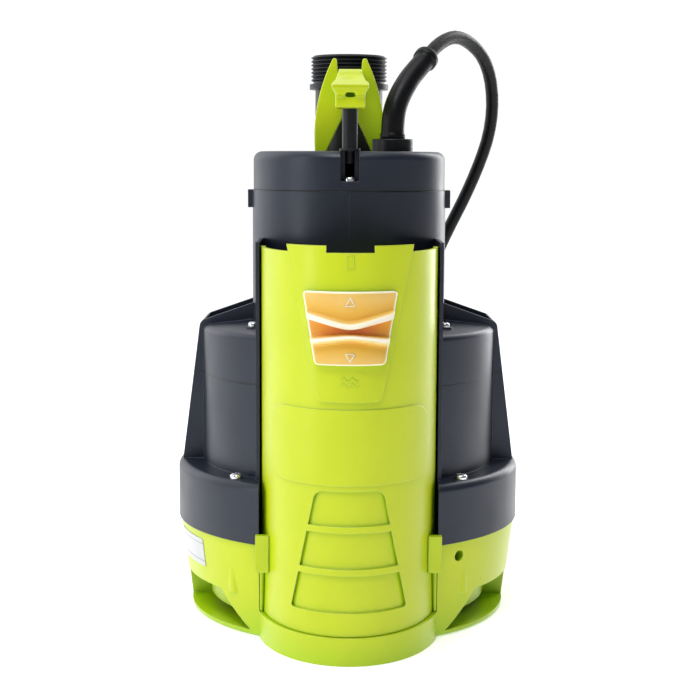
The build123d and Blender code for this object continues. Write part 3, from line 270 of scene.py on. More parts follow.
def thread_black():
    """Glass-filled black nylon of the outlet, the post and the gland."""
    return moulded(
        "thread_black",
        dark=(0.0035, 0.0045, 0.0065),
        light=(0.0070, 0.0085, 0.0120),
        # The next colour is a painted highlight along the edges.
        painted_highlight=(0.07, 0.085, 0.10),
        roughness=(0.30, 0.48),
        grain=0.35,
        depth=0.02,
        round_off=0.35,
        Specular_IOR_Level=0.3,
    )


def inner_plastic():
    """Mid-grey engineering plastic with short glass fibres."""
    return moulded(
        "inner_plastic",
        dark=(0.030, 0.031, 0.034),
        light=(0.052, 0.053, 0.056),
        # The next colour is a painted highlight along the edges.
        painted_highlight=(0.10, 0.10, 0.11),
        roughness=(0.42, 0.62),
        grain=0.3,
        depth=0.03,
    )


def float_plastic():
    """Blown off-white polyethylene."""
    return moulded(
        "float_plastic",
        dark=(0.58, 0.57, 0.52),
        light=(0.68, 0.67, 0.62),
        # The next colour is a painted highlight along the edges.
        painted_highlight=(0.78, 0.77, 0.73),
        roughness=(0.38, 0.55),
        grain=1.2,
        depth=0.02,
        Subsurface_Weight=0.15,
        Subsurface_Scale=0.002,
    )


def magnet():
    """Sintered ferrite with bright grains."""
    recipe = Recipe("magnet")
    inputs = {"Vector": recipe.place, "Scale": 2600.0}
    speckle = recipe.put("ShaderNodeTexVoronoi", inputs).outputs["Distance"]
    soft = recipe.rounded(0.3)
    return recipe.finish(
        Base_Color=recipe.ramp(speckle, (0.0, (0.11, 0.11, 0.12)), (0.35, (0.035, 0.035, 0.04))),
        Roughness=recipe.spread(recipe.noise(1.5), 0.45, 0.7),
        Normal=recipe.bumped(speckle, 0.04, soft),
    )


def ceramic():
    """Ground seal face with faint pores."""
    recipe = Recipe("ceramic")
    pores = recipe.noise(0.4, detail=6.0)
    return recipe.finish(
        Base_Color=recipe.ramp(pores, (0.32, (0.50, 0.48, 0.44)), (0.45, (0.74, 0.72, 0.67))),
        Roughness=recipe.spread(recipe.noise(2.0), 0.16, 0.3),
        Normal=recipe.bumped(pores, 0.01, recipe.rounded(0.3)),
    )


def rubber(name, dark, light, grain, depth, roughness):
    """Matt rubber with a bloom of paler dust."""
    recipe = Recipe(name)
    bloom = recipe.noise(7, detail=6.0)
    soft = recipe.rounded(0.5)
    fine = recipe.bumped(recipe.noise(grain, detail=4.0), depth, soft)
    return recipe.finish(
        Base_Color=recipe.ramp(recipe.spread(bloom, 0.0, 1.0), (0.0, dark), (1.0, light)),
        Roughness=recipe.spread(recipe.noise(2.2, detail=5.0), *roughness),
        Normal=recipe.bumped(bloom, depth * 3, fine, strength=0.6),
        Specular_IOR_Level=0.22,
    )


def cable_rubber():
    """Supply cable sheath, bend relief and plug."""
    return rubber(
        "cable_rubber",
        dark=(0.0014, 0.0016, 0.0026),
        light=(0.0034, 0.0037, 0.0050),
        grain=0.5,
        depth=0.02,
        roughness=(0.34, 0.48),
    )


def seal_rubber():
    """Softer nitrile seals and the cable tie."""
    return rubber(
        "seal_rubber",
        dark=(0.010, 0.010, 0.010),
        light=(0.024, 0.023, 0.022),
        grain=0.9,
        depth=0.04,
        roughness=(0.6, 0.8),
    )


def screw_steel():
    """Bright zinc-plated screws with a turned head."""
    return metal(
        "screw_steel",
        dark=(0.60, 0.60, 0.62),
        light=(0.82, 0.82, 0.84),
        roughness=(0.14, 0.30),
        relief=lambda recipe: recipe.noise(0.35, 4.0, recipe.stretched(1, 1, 0.2)),
        depth=0.02,
        round_off=0.3,
    )


def machine_steel():
    """Ground shafts, bearings and the drawn motor can."""
    return metal(
        "machine_steel",
        dark=(0.40, 0.41, 0.43),
        light=(0.56, 0.57, 0.59),
        roughness=(0.18, 0.34),
        relief=lambda recipe: recipe.noise(0.5, 5.0, recipe.stretched(0.08, 0.08, 1)),
        depth=0.012,
    )


def lamination_steel():
    """Stacked half-millimetre electrical sheets."""
    return metal(
        "lamination_steel",
        dark=(0.17, 0.17, 0.18),
        light=(0.33, 0.33, 0.34),
        roughness=(0.30, 0.55),
        relief=lambda recipe: recipe.bands(0.5, "Z", distortion=0.3),
        depth=0.08,
    )


def copper_winding():
    """Varnished copper turns."""
    return metal(
        "copper_winding",
        dark=(0.50, 0.17, 0.055),
        light=(0.74, 0.33, 0.13),
        roughness=(0.22, 0.40),
        relief=lambda recipe: recipe.bands(0.9, "Z", distortion=2.5, rings=True),
        depth=0.25,
        Coat_Weight=0.6,
        Coat_Roughness=0.12,
    )


def cast_aluminium():
    """Die-cast brackets with a frosted skin."""
    return metal(
        "cast_aluminium",
        dark=(0.45, 0.45, 0.47),
        light=(0.62, 0.62, 0.64),
        roughness=(0.36, 0.58),
        relief=lambda recipe: recipe.noise(0.9, 8.0),
        depth=0.09,
    )


def pin_brass():
    """Nickel-plated brass pins, warm where the plating is thin."""
    return metal(
        "pin_brass",
        dark=(0.62, 0.56, 0.42),
        light=(0.76, 0.72, 0.62),
        roughness=(0.14, 0.26),
        relief=lambda recipe: recipe.noise(0.4, 3.0, recipe.stretched(0.1, 1, 1)),
        depth=0.01,
    )


def label_white():
    """Blank film label with two printed grey rules and softly lifted edges."""
    recipe = Recipe("label_white")
    height = recipe.put("ShaderNodeSeparateXYZ", {"Vector": recipe.place}).outputs["Z"]
    low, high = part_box("rating_label")
    share = recipe.spread(height, 0.0, 1.0, start=low.z, end=high.z)
    paper, ink = (0.56, 0.57, 0.60), (0.36, 0.37, 0.40)
    stops = ((0.0, paper), (0.16, ink), (0.22, paper), (0.80, ink), (0.84, paper))
    rules = recipe.ramp(share, *stops)
    rules.node.color_ramp.interpolation = "CONSTANT"
    creases = recipe.noise(5, detail=3.0)
    return recipe.finish(
        Base_Color=rules,
        Roughness=recipe.spread(creases, 0.28, 0.42),
        Normal=recipe.bumped(creases, 0.03, recipe.rounded(0.3)),
        Coat_Weight=0.3,
        Coat_Roughness=0.2,
    )


def selector_orange():
    """Translucent orange plastic with painted light: painted shade deepening into its hollow, painted cream
    highlights on its crests and outline.
    """
    recipe = Recipe("selector_orange")
    # The sunk attribute carries painted light: a painted cream highlight on the crests, darkening to
    # painted deep orange shade in the hollow.
    sunk_shade = recipe.put("ShaderNodeAttribute", attribute_name="sunk_shade").outputs["Fac"]
    cloudy = recipe.spread(recipe.noise(12, detail=3.0), -0.03, 0.03)
    depth = recipe.put("ShaderNodeMath", operation="ADD")
    recipe.feed(depth.inputs[0], sunk_shade)
    recipe.feed(depth.inputs[1], cloudy)
    body = recipe.ramp(
        depth.outputs[0],
        (0.0, (0.93, 0.88, 0.74)),
        (0.05, (0.85, 0.68, 0.24)),
        (0.20, (0.84, 0.60, 0.20)),
        (0.53, (0.80, 0.53, 0.15)),
        (0.70, (0.80, 0.45, 0.040)),
        (0.86, (0.80, 0.32, 0.010)),
        (1.0, (0.70, 0.16, 0.004)),
    )
    # The rim attribute carries a painted cream highlight along the outline and on the crests' upper faces.
    rim = recipe.put("ShaderNodeAttribute", attribute_name="rim").outputs["Fac"]
    body = recipe.mixed(rim, body, (0.93, 0.88, 0.74))
    soft = recipe.rounded(0.5)
    # A paler colour on the edges is a painted highlight too.
    body = recipe.mixed(recipe.edge_mask(soft, reach=0.4), body, (0.90, 0.80, 0.55))
    return recipe.finish(
        Base_Color=body,
        Roughness=recipe.spread(recipe.noise(2.5, detail=5.0), 0.28, 0.40),
        Normal=recipe.bumped(recipe.noise(0.7, detail=3.0), 0.006, soft),
        Subsurface_Weight=0.12,
        Subsurface_Radius=(1.0, 0.45, 0.12),
        Subsurface_Scale=0.0015,
    )


MAKERS = (
    housing_black,
    lime_plastic,
    selector_orange,
    thread_black,
    cable_rubber,
    seal_rubber,
    screw_steel,
    machine_steel,
    lamination_steel,
    copper_winding,
    cast_aluminium,
    ceramic,
    inner_plastic,
    float_plastic,
    magnet,
    pin_brass,
    label_white,
)
looks = {maker.__name__: maker() for maker in MAKERS}


def paint_cad_nodes():
    """Gives each carried-over CAD node the material of its slot."""
    for part in frame["record"]["subparts"]:
        holder = nodes[part["node"]]
        look = looks[part["material_slot"]]
        if not holder.material_slots:
            holder.data.materials.append(look)
        for material_slot in holder.material_slots:
            material_slot.material = look


paint_cad_nodes()


# ---------------------------------------------------------------- mesh building blocks
def eased(value, low, high):
    """A smooth step from 0 at low to 1 at high."""
    share = min(max((value - low) / (high - low), 0.0), 1.0)
    return share * share * (3 - 2 * share)


def finish_piece(piece, body, slot, *replaced):
    """Links a finished piece, rides it on its body and gives it its slot's material."""
    scene.collection.objects.link(piece)
    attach(piece, body)
    piece.data.materials.append(looks[slot])
    if replaced:
        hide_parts(*replaced)
    return piece


def skin(name, rings, looped=False):
    """A mesh through rings of points: each ring joins the next, looped back on itself or capped."""
    size = len(rings[0])
    faces = []
    for row in range(len(rings) if looped else len(rings) - 1):
        following = (row + 1) % len(rings)
        for column in range(size):
            beside = (column + 1) % size
            faces.append(
                (
                    row * size + column,
                    row * size + beside,
                    following * size + beside,
                    following * size + column,
                )
            )
    if not looped:
        last = (len(rings) - 1) * size
        faces.append(tuple(reversed(range(size))))
        faces.append(tuple(range(last, last + size)))
    mesh = bpy.data.meshes.new(name)
    points = [[value * MM for value in point] for ring in rings for point in ring]
    mesh.from_pydata(points, [], faces)
    mesh.update()
    return bpy.data.objects.new(name, mesh)


def smooth_shaded(piece, angle=40):
    """Smooth shading that keeps edges sharper than this many degrees."""
    piece.data.shade_smooth()
    piece.data.set_sharp_from_angle(angle=math.radians(angle))
    return piece


def sweep_rings(line, profile, sides):
    """Rings along a line of points, from (distance along it, radius) pairs."""
    line = [Vector(point) for point in line]
    marks = [0.0]
    for before, after in zip(line, line[1:]):
        marks.append(marks[-1] + (after - before).length)
    tangents = []
    for index in range(len(line)):
        before, after = line[max(index - 1, 0)], line[min(index + 1, len(line) - 1)]
        tangents.append((after - before).normalized())
    side = tangents[0].orthogonal().normalized()
    sides_along = []
    for tangent in tangents:
        side = (side - tangent * side.dot(tangent)).normalized()
        sides_along.append(side)
    rings = []
    for distance, radius in profile:
        index = max(step for step, mark in enumerate(marks) if mark <= distance or step == 0)
        index = min(index, len(line) - 2)
        share = (distance - marks[index]) / (marks[index + 1] - marks[index])
        centre = line[index].lerp(line[index + 1], share)
        tangent = tangents[index].lerp(tangents[index + 1], min(share, 1.0)).normalized()
        across = sides_along[index]
        across = (across - tangent * across.dot(tangent)).normalized()
        upright = tangent.cross(across)
        rings.append(
            [
                centre + (across * math.cos(turn) + upright * math.sin(turn)) * radius
                for turn in (2 * math.pi * step / sides for step in range(sides))
            ]
        )
    return rings


def raised_lines(name, strokes, radius, body, slot, cyclic=False):
    """Thin rounded lines that stand on a surface, from lists of points along it."""
    curve = bpy.data.curves.new(name, "CURVE")
    curve.dimensions = "3D"
    curve.bevel_depth = 1.0
    curve.bevel_resolution = 2
    curve.use_fill_caps = True
    for stroke in strokes:
        spline = curve.splines.new("POLY")
        spline.points.add(len(stroke) - 1)
        for point, place in zip(spline.points, stroke):
            point.co = (*(value * MM for value in place), 1.0)
            point.radius = radius * MM
        spline.use_cyclic_u = cyclic
        spline.use_smooth = True
    return finish_piece(bpy.data.objects.new(name, curve), body, slot)


# ---------------------------------------------------------------- float chamber's curved front
CHAMBER_Y = -63.0
COVER_HALF = 49.3
COVER_REACH = 66.5
PANEL_PROUD = 1.2


def on_cover(x, z, proud):
    """The point at x and z that stands this far proud of the float cover's curved front."""
    half, reach = COVER_HALF + proud, COVER_REACH + proud
    return (x, CHAMBER_Y - reach * math.sqrt(1 - (x / half) ** 2), z)


# ---------------------------------------------------------------- mode selector
SELECTOR_LOW, SELECTOR_TOP = 161.4, 199.7
SELECTOR_HALF_LOW, SELECTOR_HALF_TOP = 18.5, 24.8
SELECTOR_CORNER = 2.2
SELECTOR_BACK = 1.6
SELECTOR_FACE = 5.0
SELECTOR_THIN = 0.2
HOLLOW, RIDGE = 2.7, 8.0
UPPER_FOOT, UPPER_HIGH, UPPER_SLOPE = 180.3, 3.5, 0.25
LOWER_HEAD, LOWER_HIGH, LOWER_SLOPE = 178.0, 3.1, 0.11
RIDGE_GROWTH, RIDGE_BEND_R = 0.03, 5.0
# Places in the list from selector_levels where a crest or the hollow starts.
LOWER_CREST, HOLLOW_START, UPPER_CREST = 3, 5, 7
EDGE_ROUND = 1.3
# How far the painted highlight reaches in from the selector's outline, and how much the painted shade eases
# towards the hollow's ends.
RIM_HIGHLIGHT_WIDE = 1.1
HOLLOW_PALER = 0.2
SELECTOR_COLUMNS = 96
ROWS_A_LEVEL = (7, 16, 6, 5, 5, 8, 5, 5, 5, 16, 7)
MARK_HALF, MARK_LINE_R, MARK_SUNK = 2.3, 0.5, 0.05
MARK_TIPS_AND_FEET = {"selector_mark_up": (196.6, 192.4), "selector_mark_down": (163.6, 167.6)}
STEM_HALF, STEM_CORNER, STEM_Z, STEM_Y = 6.0, 1, (175.5, 185.5), (-131.0, -124.4)


def selector_levels(across):
    """The selector's relief up one line: (height, how proud) from its lower edge to its upper one."""
    sideways = math.hypot(across, RIDGE_BEND_R) - RIDGE_BEND_R
    upper_foot = UPPER_FOOT + UPPER_SLOPE * sideways
    upper_head = upper_foot + UPPER_HIGH + RIDGE_GROWTH * sideways
    lower_head = LOWER_HEAD - LOWER_SLOPE * sideways
    lower_foot = lower_head - LOWER_HIGH - RIDGE_GROWTH * sideways
    return (
        (SELECTOR_LOW, SELECTOR_FACE),
        (SELECTOR_LOW + SELECTOR_CORNER, SELECTOR_FACE),
        (lower_foot - 1.3, 4.2),
        (lower_foot + 0.4, RIDGE - 0.3),
        (lower_head - 0.9, RIDGE),
        (lower_head + 0.3, HOLLOW),
        (upper_foot - 0.3, HOLLOW),
        (upper_foot + 0.3, RIDGE),
        (upper_head - 1.2, RIDGE - 0.2),
        (upper_head + 1.0, 4.0),
        (SELECTOR_TOP - SELECTOR_CORNER, SELECTOR_FACE),
        (SELECTOR_TOP, SELECTOR_FACE),
    )


def selector_half(height):
    """Half the selector's width at a height, with its corners rounded."""
    share = (height - SELECTOR_LOW) / (SELECTOR_TOP - SELECTOR_LOW)
    half = SELECTOR_HALF_LOW + (SELECTOR_HALF_TOP - SELECTOR_HALF_LOW) * share
    near = min(height - SELECTOR_LOW, SELECTOR_TOP - height)
    over = max(SELECTOR_CORNER - near, 0.0)
    return half - SELECTOR_CORNER + math.sqrt(max(SELECTOR_CORNER**2 - over**2, 0.0))


def rounded_drop(distance):
    """How far the face falls back at this distance inside the selector's outline."""
    inward = max(EDGE_ROUND - distance, 0.0)
    return EDGE_ROUND - math.sqrt(max(EDGE_ROUND**2 - inward**2, 0.0))


def selector_column(share):
    """The front up one line, at this share of the half width: x, z, how proud, how sunk (for the painted
    shade), how pale (for the painted highlight).
    """
    levels = selector_levels(share * SELECTOR_HALF_TOP)
    column = []
    for (low, first), (high, last), rows in zip(levels, levels[1:], ROWS_A_LEVEL):
        for row in range(rows):
            height = low + (high - low) * row / rows
            column.append((height, first + (last - first) * eased(height, low, high)))
    column.append(levels[-1])
    points = []
    for height, proud in column:
        half = selector_half(height)
        border = min(half * (1 - abs(share)), height - SELECTOR_LOW, SELECTOR_TOP - height)
        sunk_shade = (RIDGE - proud) / (RIDGE - HOLLOW)
        crest = UPPER_CREST if height > levels[HOLLOW_START][0] else LOWER_CREST
        low, high = levels[crest][0], levels[crest + 1][0]
        # A painted highlight on the crest's upper face, and along the outline.
        crest_highlight = eased(sunk_shade, 0.3, 0.0) * eased(height, low + 0.2 * (high - low), (low + high) / 2)
        rim = max(eased(border, RIM_HIGHLIGHT_WIDE, RIM_HIGHLIGHT_WIDE / 3), crest_highlight)
        # The painted shade in the hollow eases towards its ends.
        sunk_shade -= HOLLOW_PALER * eased(sunk_shade, 0.6, 1.0) * abs(share) ** 1.5
        proud = max(proud - rounded_drop(border), SELECTOR_BACK + SELECTOR_THIN)
        points.append((share * half, height, proud, sunk_shade, rim))
    return points


def add_selector():
    """The mode selector: two finger ridges over a hollow, on a rounded face."""
    places = [2 * step / SELECTOR_COLUMNS - 1 for step in range(SELECTOR_COLUMNS + 1)]
    columns = [selector_column(math.sin(math.pi / 2 * place)) for place in places]
    rings = []
    for column in columns:
        front = [on_cover(x, z, proud) for x, z, proud, *_ in column]
        back = [on_cover(x, z, SELECTOR_BACK) for x, z, *_ in reversed(column)]
        rings.append(front + back)
    piece = smooth_shaded(skin("mode_selector", rings), angle=55)
    # The painted shade and painted highlight ride on the mesh as attributes.
    for name, place in (("sunk_shade", 3), ("rim", 4)):
        values = [point[place] for column in columns for point in (*column, *reversed(column))]
        piece.data.attributes.new(name, "FLOAT", "POINT").data.foreach_set("value", values)
    finish_piece(piece, "selector", "selector_orange", "mode_slider")


def add_selector_marks():
    """Two open triangles on the selector's face, one that points up and one that points down."""
    for name, (tip, foot) in MARK_TIPS_AND_FEET.items():
        corners = ((-MARK_HALF, foot), (0.0, tip), (MARK_HALF, foot))
        stroke = [on_cover(x, z, SELECTOR_FACE - MARK_SUNK) for x, z in corners]
        raised_lines(name, [stroke], MARK_LINE_R, "selector", "selector_orange", cyclic=True)


def add_selector_stem():
    """The stem that leads from the selector back towards its carrier."""
    inner = STEM_HALF - STEM_CORNER
    outline = ((-STEM_HALF, STEM_CORNER), (-inner, 0), (inner, 0), (STEM_HALF, STEM_CORNER))
    rings = []
    for y in STEM_Y:
        low = [(x, y, STEM_Z[0] + cut) for x, cut in outline]
        high = [(x, y, STEM_Z[1] - cut) for x, cut in reversed(outline)]
        rings.append(low + high)
    finish_piece(skin("selector_stem", rings), "selector", "selector_orange")


add_selector()
add_selector_marks()
add_selector_stem()


# ---------------------------------------------------------------- moulded marks on the panel and the neck
BAR_Z, BAR_HALF_WIDE, BAR_HALF_HIGH = 214.7, 1.7, 3.6
WAVES_Z, WAVES_HALF_APART, WAVES_WIDE, WAVE_STEPS = 152.3, 1.6, 9.0, 24
PANEL_LINE_R = 0.4
NECK_LINE_Y, NECK_LINE_LOW, NECK_LINE_R = -57.35, 223.5, 0.22
NECK_LINE_STEP, NECK_LINE_STEPS = 2.5, 10


def add_panel_marks():
    """Generic marks in place of lettering: an upright bar above the selector, two waves below it."""
    corners = ((-1, -1), (-1, 1), (1, 1), (1, -1))
    bar = [(BAR_HALF_WIDE * side, BAR_Z + BAR_HALF_HIGH * rise) for side, rise in corners]
    stroke = [on_cover(x, z, PANEL_PROUD) for x, z in bar]
    raised_lines("panel_mark_top", [stroke], PANEL_LINE_R, "pump", "lime_plastic", cyclic=True)
    waves = []
    for rise in (-WAVES_HALF_APART, WAVES_HALF_APART):
        wave = []
        for step in range(WAVE_STEPS + 1):
            x = WAVES_WIDE * (step / WAVE_STEPS - 0.5)
            height = WAVES_Z + rise + math.sin(4 * math.pi * step / WAVE_STEPS)
            wave.append(on_cover(x, height, PANEL_PROUD))
        waves.append(wave)
    raised_lines("panel_mark_low", waves, PANEL_LINE_R, "pump", "lime_plastic")


def add_neck_line():
    """The fine mould line up the front of the housing's neck."""
    heights = [NECK_LINE_LOW + step * NECK_LINE_STEP for step in range(NECK_LINE_STEPS + 1)]
    line = [(0.0, NECK_LINE_Y, height) for height in heights]
    raised_lines("neck_mould_line", [line], NECK_LINE_R, "pump", "housing_black")


add_panel_marks()
add_neck_line()


# ---------------------------------------------------------------- beads beside the float cover
POCKET_HALF = 49.6
BASE_FOOT_R, BASE_LEAN = 94.4, 0.12
BEAD_Z, BEAD_DEEP, BEAD_SET_BACK = (15.4, 54.6), 1.7, 1.2
BEAD_LEVELS = (0.0, 0.01, 0.03, 0.15, 0.3, 0.45, 0.6, 0.75, 0.9, 0.97, 0.99, 1.0)
BEAD_END, BEAD_END_SIZE, BEAD_SIDES = 0.03, 0.5, 20


def bead_ring(side, level):
    """The bead's outline at this share of its height, between the cover's side and the pocket's."""
    height = BEAD_Z[0] + (BEAD_Z[1] - BEAD_Z[0]) * level
    rim = math.sqrt((BASE_FOOT_R + BASE_LEAN * height) ** 2 - POCKET_HALF**2)
    y = BEAD_SET_BACK - rim
    inner = COVER_HALF * math.sqrt(1 - ((y - CHAMBER_Y) / COVER_REACH) ** 2)
    full = eased(0.5 - abs(level - 0.5), 0.0, BEAD_END)
    half = (POCKET_HALF - inner) / 2 * (BEAD_END_SIZE + (1 - BEAD_END_SIZE) * full)
    middle = (POCKET_HALF + inner) / 2
    ring = []
    for step in range(BEAD_SIDES):
        turn = 2 * math.pi * step / BEAD_SIDES
        x = side * (middle + half * math.cos(turn))
        ring.append((x, y + BEAD_DEEP * math.sin(turn), height))
    return ring if side > 0 else ring[::-1]


def add_cover_beads():
    """Lime beads in the slots between the float cover's sides and the base's pocket."""
    for side, name in ((-1, "cover_bead_left"), (1, "cover_bead_right")):
        rings = [bead_ring(side, level) for level in BEAD_LEVELS]
        finish_piece(smooth_shaded(skin(name, rings), angle=50), "pump", "lime_plastic")


add_cover_beads()


# ---------------------------------------------------------------- handle
HANDLE_GRID, HANDLE_SMOOTHINGS = 0.5, 9


def add_handle():
    """The carrying handle with all its moulded edges rounded, from a finely remeshed copy of its solid."""
    piece = bpy.data.objects.new("lifting_handle", nodes["carry_handle"].data.copy())
    piece.data.materials.clear()
    fine = piece.modifiers.new("fine", "REMESH")
    fine.mode = "VOXEL"
    fine.voxel_size = HANDLE_GRID * MM
    fine.use_smooth_shade = True
    relax = piece.modifiers.new("relax", "SMOOTH")
    relax.factor = 0.5
    relax.iterations = HANDLE_SMOOTHINGS
    finish_piece(piece, "pump", "lime_plastic", "carry_handle")


add_handle()


# ---------------------------------------------------------------- bend relief
BOOT_PLACES = ((25.5, -4, 279.5), (27.0, -3, 297.5), (34.5, 4, 313.5), (46.0, 18, 328))
BOOT_SLOPES = ((0, 0, 18), (4.5, 4, 17), (9.5, 10.5, 15.3), (8, 15, 11))
# (distance along the sleeve, radius); from BOOT_FROM_END on, the distance counts from its far end.
BOOT_PROFILE = (
    (0.0, 4.4),
    (0.0, 7.0),
    (0.6, 7.5),
    (2.6, 7.5),
    (3.4, 6.9),
    (20.0, 6.75),
    (40.0, 6.45),
    (-3.6, 6.3),
    (-3.1, 6.9),
    (-2.6, 7.4),
    (0.2, 7.5),
    (1.4, 7.4),
    (2.0, 7.0),
    (2.1, 6.2),
    (1.5, 5.5),
    (-1.5, 5.2),
    (-2.0, 4.0),
)
BOOT_FROM_END = 7
BOOT_STEPS, BOOT_RINGS_APART, BOOT_SIDES = 16, 1.5, 40


def hermite(places, slopes, steps):
    """Points along a smooth curve through places, with these slopes at them."""
    line = []
    for (start, end), (leave, arrive) in zip(zip(places, places[1:]), zip(slopes, slopes[1:])):
        for step in range(steps):
            t = step / steps
            weights = (
                (1 + 2 * t) * (1 - t) ** 2,
                t * (1 - t) ** 2,
                t * t * (3 - 2 * t),
                t * t * (t - 1),
            )
            parts = (start, leave, end, arrive)
            line.append(sum((Vector(part) * weight for part, weight in zip(parts, weights)), Vector()))
    line.append(Vector(places[-1]))
    return line


def add_bend_relief():
    """The tapered sleeve where the cable leaves its gland, with a foot and an open collar."""
    line = hermite(BOOT_PLACES, BOOT_SLOPES, BOOT_STEPS)
    length = sum((after - before).length for before, after in zip(line, line[1:]))
    profile = []
    for index, (distance, radius) in enumerate(BOOT_PROFILE):
        profile.append((distance if index < BOOT_FROM_END else length + distance, radius))
    even = []
    for (start, first), (end, last) in zip(profile, profile[1:]):
        pieces = max(round((end - start) / BOOT_RINGS_APART), 1)
        for step in range(pieces):
            even.append((start + (end - start) * step / pieces, first + (last - first) * step / pieces))
    even.append(profile[-1])
    piece = smooth_shaded(skin("bend_relief_sleeve", sweep_rings(line, even, BOOT_SIDES)), angle=50)
    return finish_piece(piece, "pump", "cable_rubber", "bend_relief")


# ---------------------------------------------------------------- plug and its pins
# The plug lies along x, with its cable end at 0; its centre line is given in y and z.
PLUG_CENTRE = (279.4, 55.3)
PLUG_NECK, PLUG_BODY, PLUG_FRONT, PLUG_FACE = 18, 26, 50, 54.0
PLUG_HALF_WIDE, PLUG_HALF_HIGH = 19.0, 13.0
WAIST_WIDE, WAIST_HIGH, WAIST_END = 0.8, 0.6, 48
PLUG_RINGS_APART, PLUG_CORNER_STEPS = 0.5, 8
TAIL_R, TAIL_TAPER, TAIL_CORNER = 5.5, 0.03, 0.98
RIB_PROUD, RIB_APART = 0.65, 3
NECK_R, NECK_RINGS = 6.6, 8
NECK_CORNER, BODY_CORNER, FACE_CORNER_LOSS = 6.4, 7.8, 0.6
GROOVE_DEEP, GROOVE_APART, GROOVE_MIDDLE, GROOVES_LOW, GROOVES_HIGH = 0.8, 4, 34, 28, 46
FACE_ROUND = 3.0
PIN_APART, PIN_LONG, PIN_R, PIN_SUNK = 19.0, 19.0, 2.4, 1.0


def plug_section(x, half_wide, half_high, corner):
    """A rounded rectangle across the plug at this place along it."""
    ring = []
    for quarter, (side, rise) in enumerate(((1, 1), (-1, 1), (-1, -1), (1, -1))):
        for step in range(PLUG_CORNER_STEPS):
            turn = math.pi / 2 * (quarter + step / (PLUG_CORNER_STEPS - 1))
            across = side * (half_wide - corner) + corner * math.cos(turn)
            upward = rise * (half_high - corner) + corner * math.sin(turn)
            ring.append((x, PLUG_CENTRE[0] + across, PLUG_CENTRE[1] + upward))
    return ring


def tail_section(step):
    """The ribbed tail round the cable, which widens a little towards the neck."""
    x = PLUG_RINGS_APART * step
    rib = RIB_PROUD * eased(math.sin(2 * math.pi * x / RIB_APART), -0.4, 0.4)
    radius = TAIL_R + rib + TAIL_TAPER * x
    return plug_section(x, radius, radius, radius * TAIL_CORNER)


def neck_section(step):
    """The neck, which grows from the tail's round to the body's rounded rectangle."""
    share = step / NECK_RINGS
    grown = eased(share, 0, 1)
    half_wide = NECK_R + (PLUG_HALF_WIDE - WAIST_WIDE - NECK_R) * grown
    half_high = NECK_R + (PLUG_HALF_HIGH - WAIST_HIGH - NECK_R) * grown
    corner = NECK_CORNER + (BODY_CORNER - NECK_CORNER) * grown
    return plug_section(PLUG_NECK + (PLUG_BODY - PLUG_NECK) * share, half_wide, half_high, corner)


def body_section(step):
    """The body, which widens towards its face and has finger grooves round its middle."""
    x = PLUG_BODY + PLUG_RINGS_APART * step
    groove = GROOVE_DEEP * eased(math.cos(2 * math.pi * (x - GROOVE_MIDDLE) / GROOVE_APART), 0.2, 0.9)
    groove *= eased(GROOVES_HIGH - x, 0, GROOVE_APART)
    groove *= eased(x, GROOVES_LOW, GROOVES_LOW + GROOVE_APART)
    waist = 1 - eased(x, PLUG_BODY, WAIST_END)
    half_wide = PLUG_HALF_WIDE - WAIST_WIDE * waist - groove
    half_high = PLUG_HALF_HIGH - WAIST_HIGH * waist - groove
    return plug_section(x, half_wide, half_high, BODY_CORNER)


def front_section(turn):
    """The rounded edge between the body and its flat face."""
    inward = FACE_ROUND * (1 - math.cos(turn))
    x = PLUG_FRONT + (PLUG_FACE - PLUG_FRONT) * math.sin(turn)
    corner = BODY_CORNER - FACE_CORNER_LOSS * inward
    return plug_section(x, PLUG_HALF_WIDE - inward, PLUG_HALF_HIGH - inward, corner)


def add_plug():
    """A moulded two-pin plug with a ribbed tail and finger grooves, and its pins."""
    tail_rings = round(PLUG_NECK / PLUG_RINGS_APART)
    body_rings = round((PLUG_FRONT - PLUG_BODY) / PLUG_RINGS_APART)
    rings = [tail_section(step) for step in range(tail_rings + 1)]
    rings += [neck_section(step + 1) for step in range(NECK_RINGS)]
    rings += [body_section(step + 1) for step in range(body_rings)]
    rings += [front_section(turn) for turn in (0.35, 0.7, 1.05, 1.35, 1.57)]
    moulding = smooth_shaded(skin("plug_moulding", rings), angle=50)
    return [finish_piece(moulding, "pump", "cable_rubber", "plug_body"), *add_pins()]


def add_pins():
    """The plug's two pins, with rounded tips."""
    profile = [(-PIN_SUNK, PIN_R), (PIN_LONG - 3, PIN_R)]
    for turn in (0.3, 0.7, 1.1, 1.4):
        profile.append((PIN_LONG - PIN_R * (1 - math.sin(turn)), PIN_R * math.cos(turn)))
    pins = []
    for side, name in ((-1, "plug_pin_front"), (1, "plug_pin_rear")):
        y = PLUG_CENTRE[0] + side * PIN_APART / 2
        line = [(PLUG_FACE + step, y, PLUG_CENTRE[1]) for step in (0.0, 10.0, 20.0)]
        pin = smooth_shaded(skin(name, sweep_rings(line, profile, 24)))
        pins.append(finish_piece(pin, "pump", "pin_brass", "plug_pins"))
    return pins


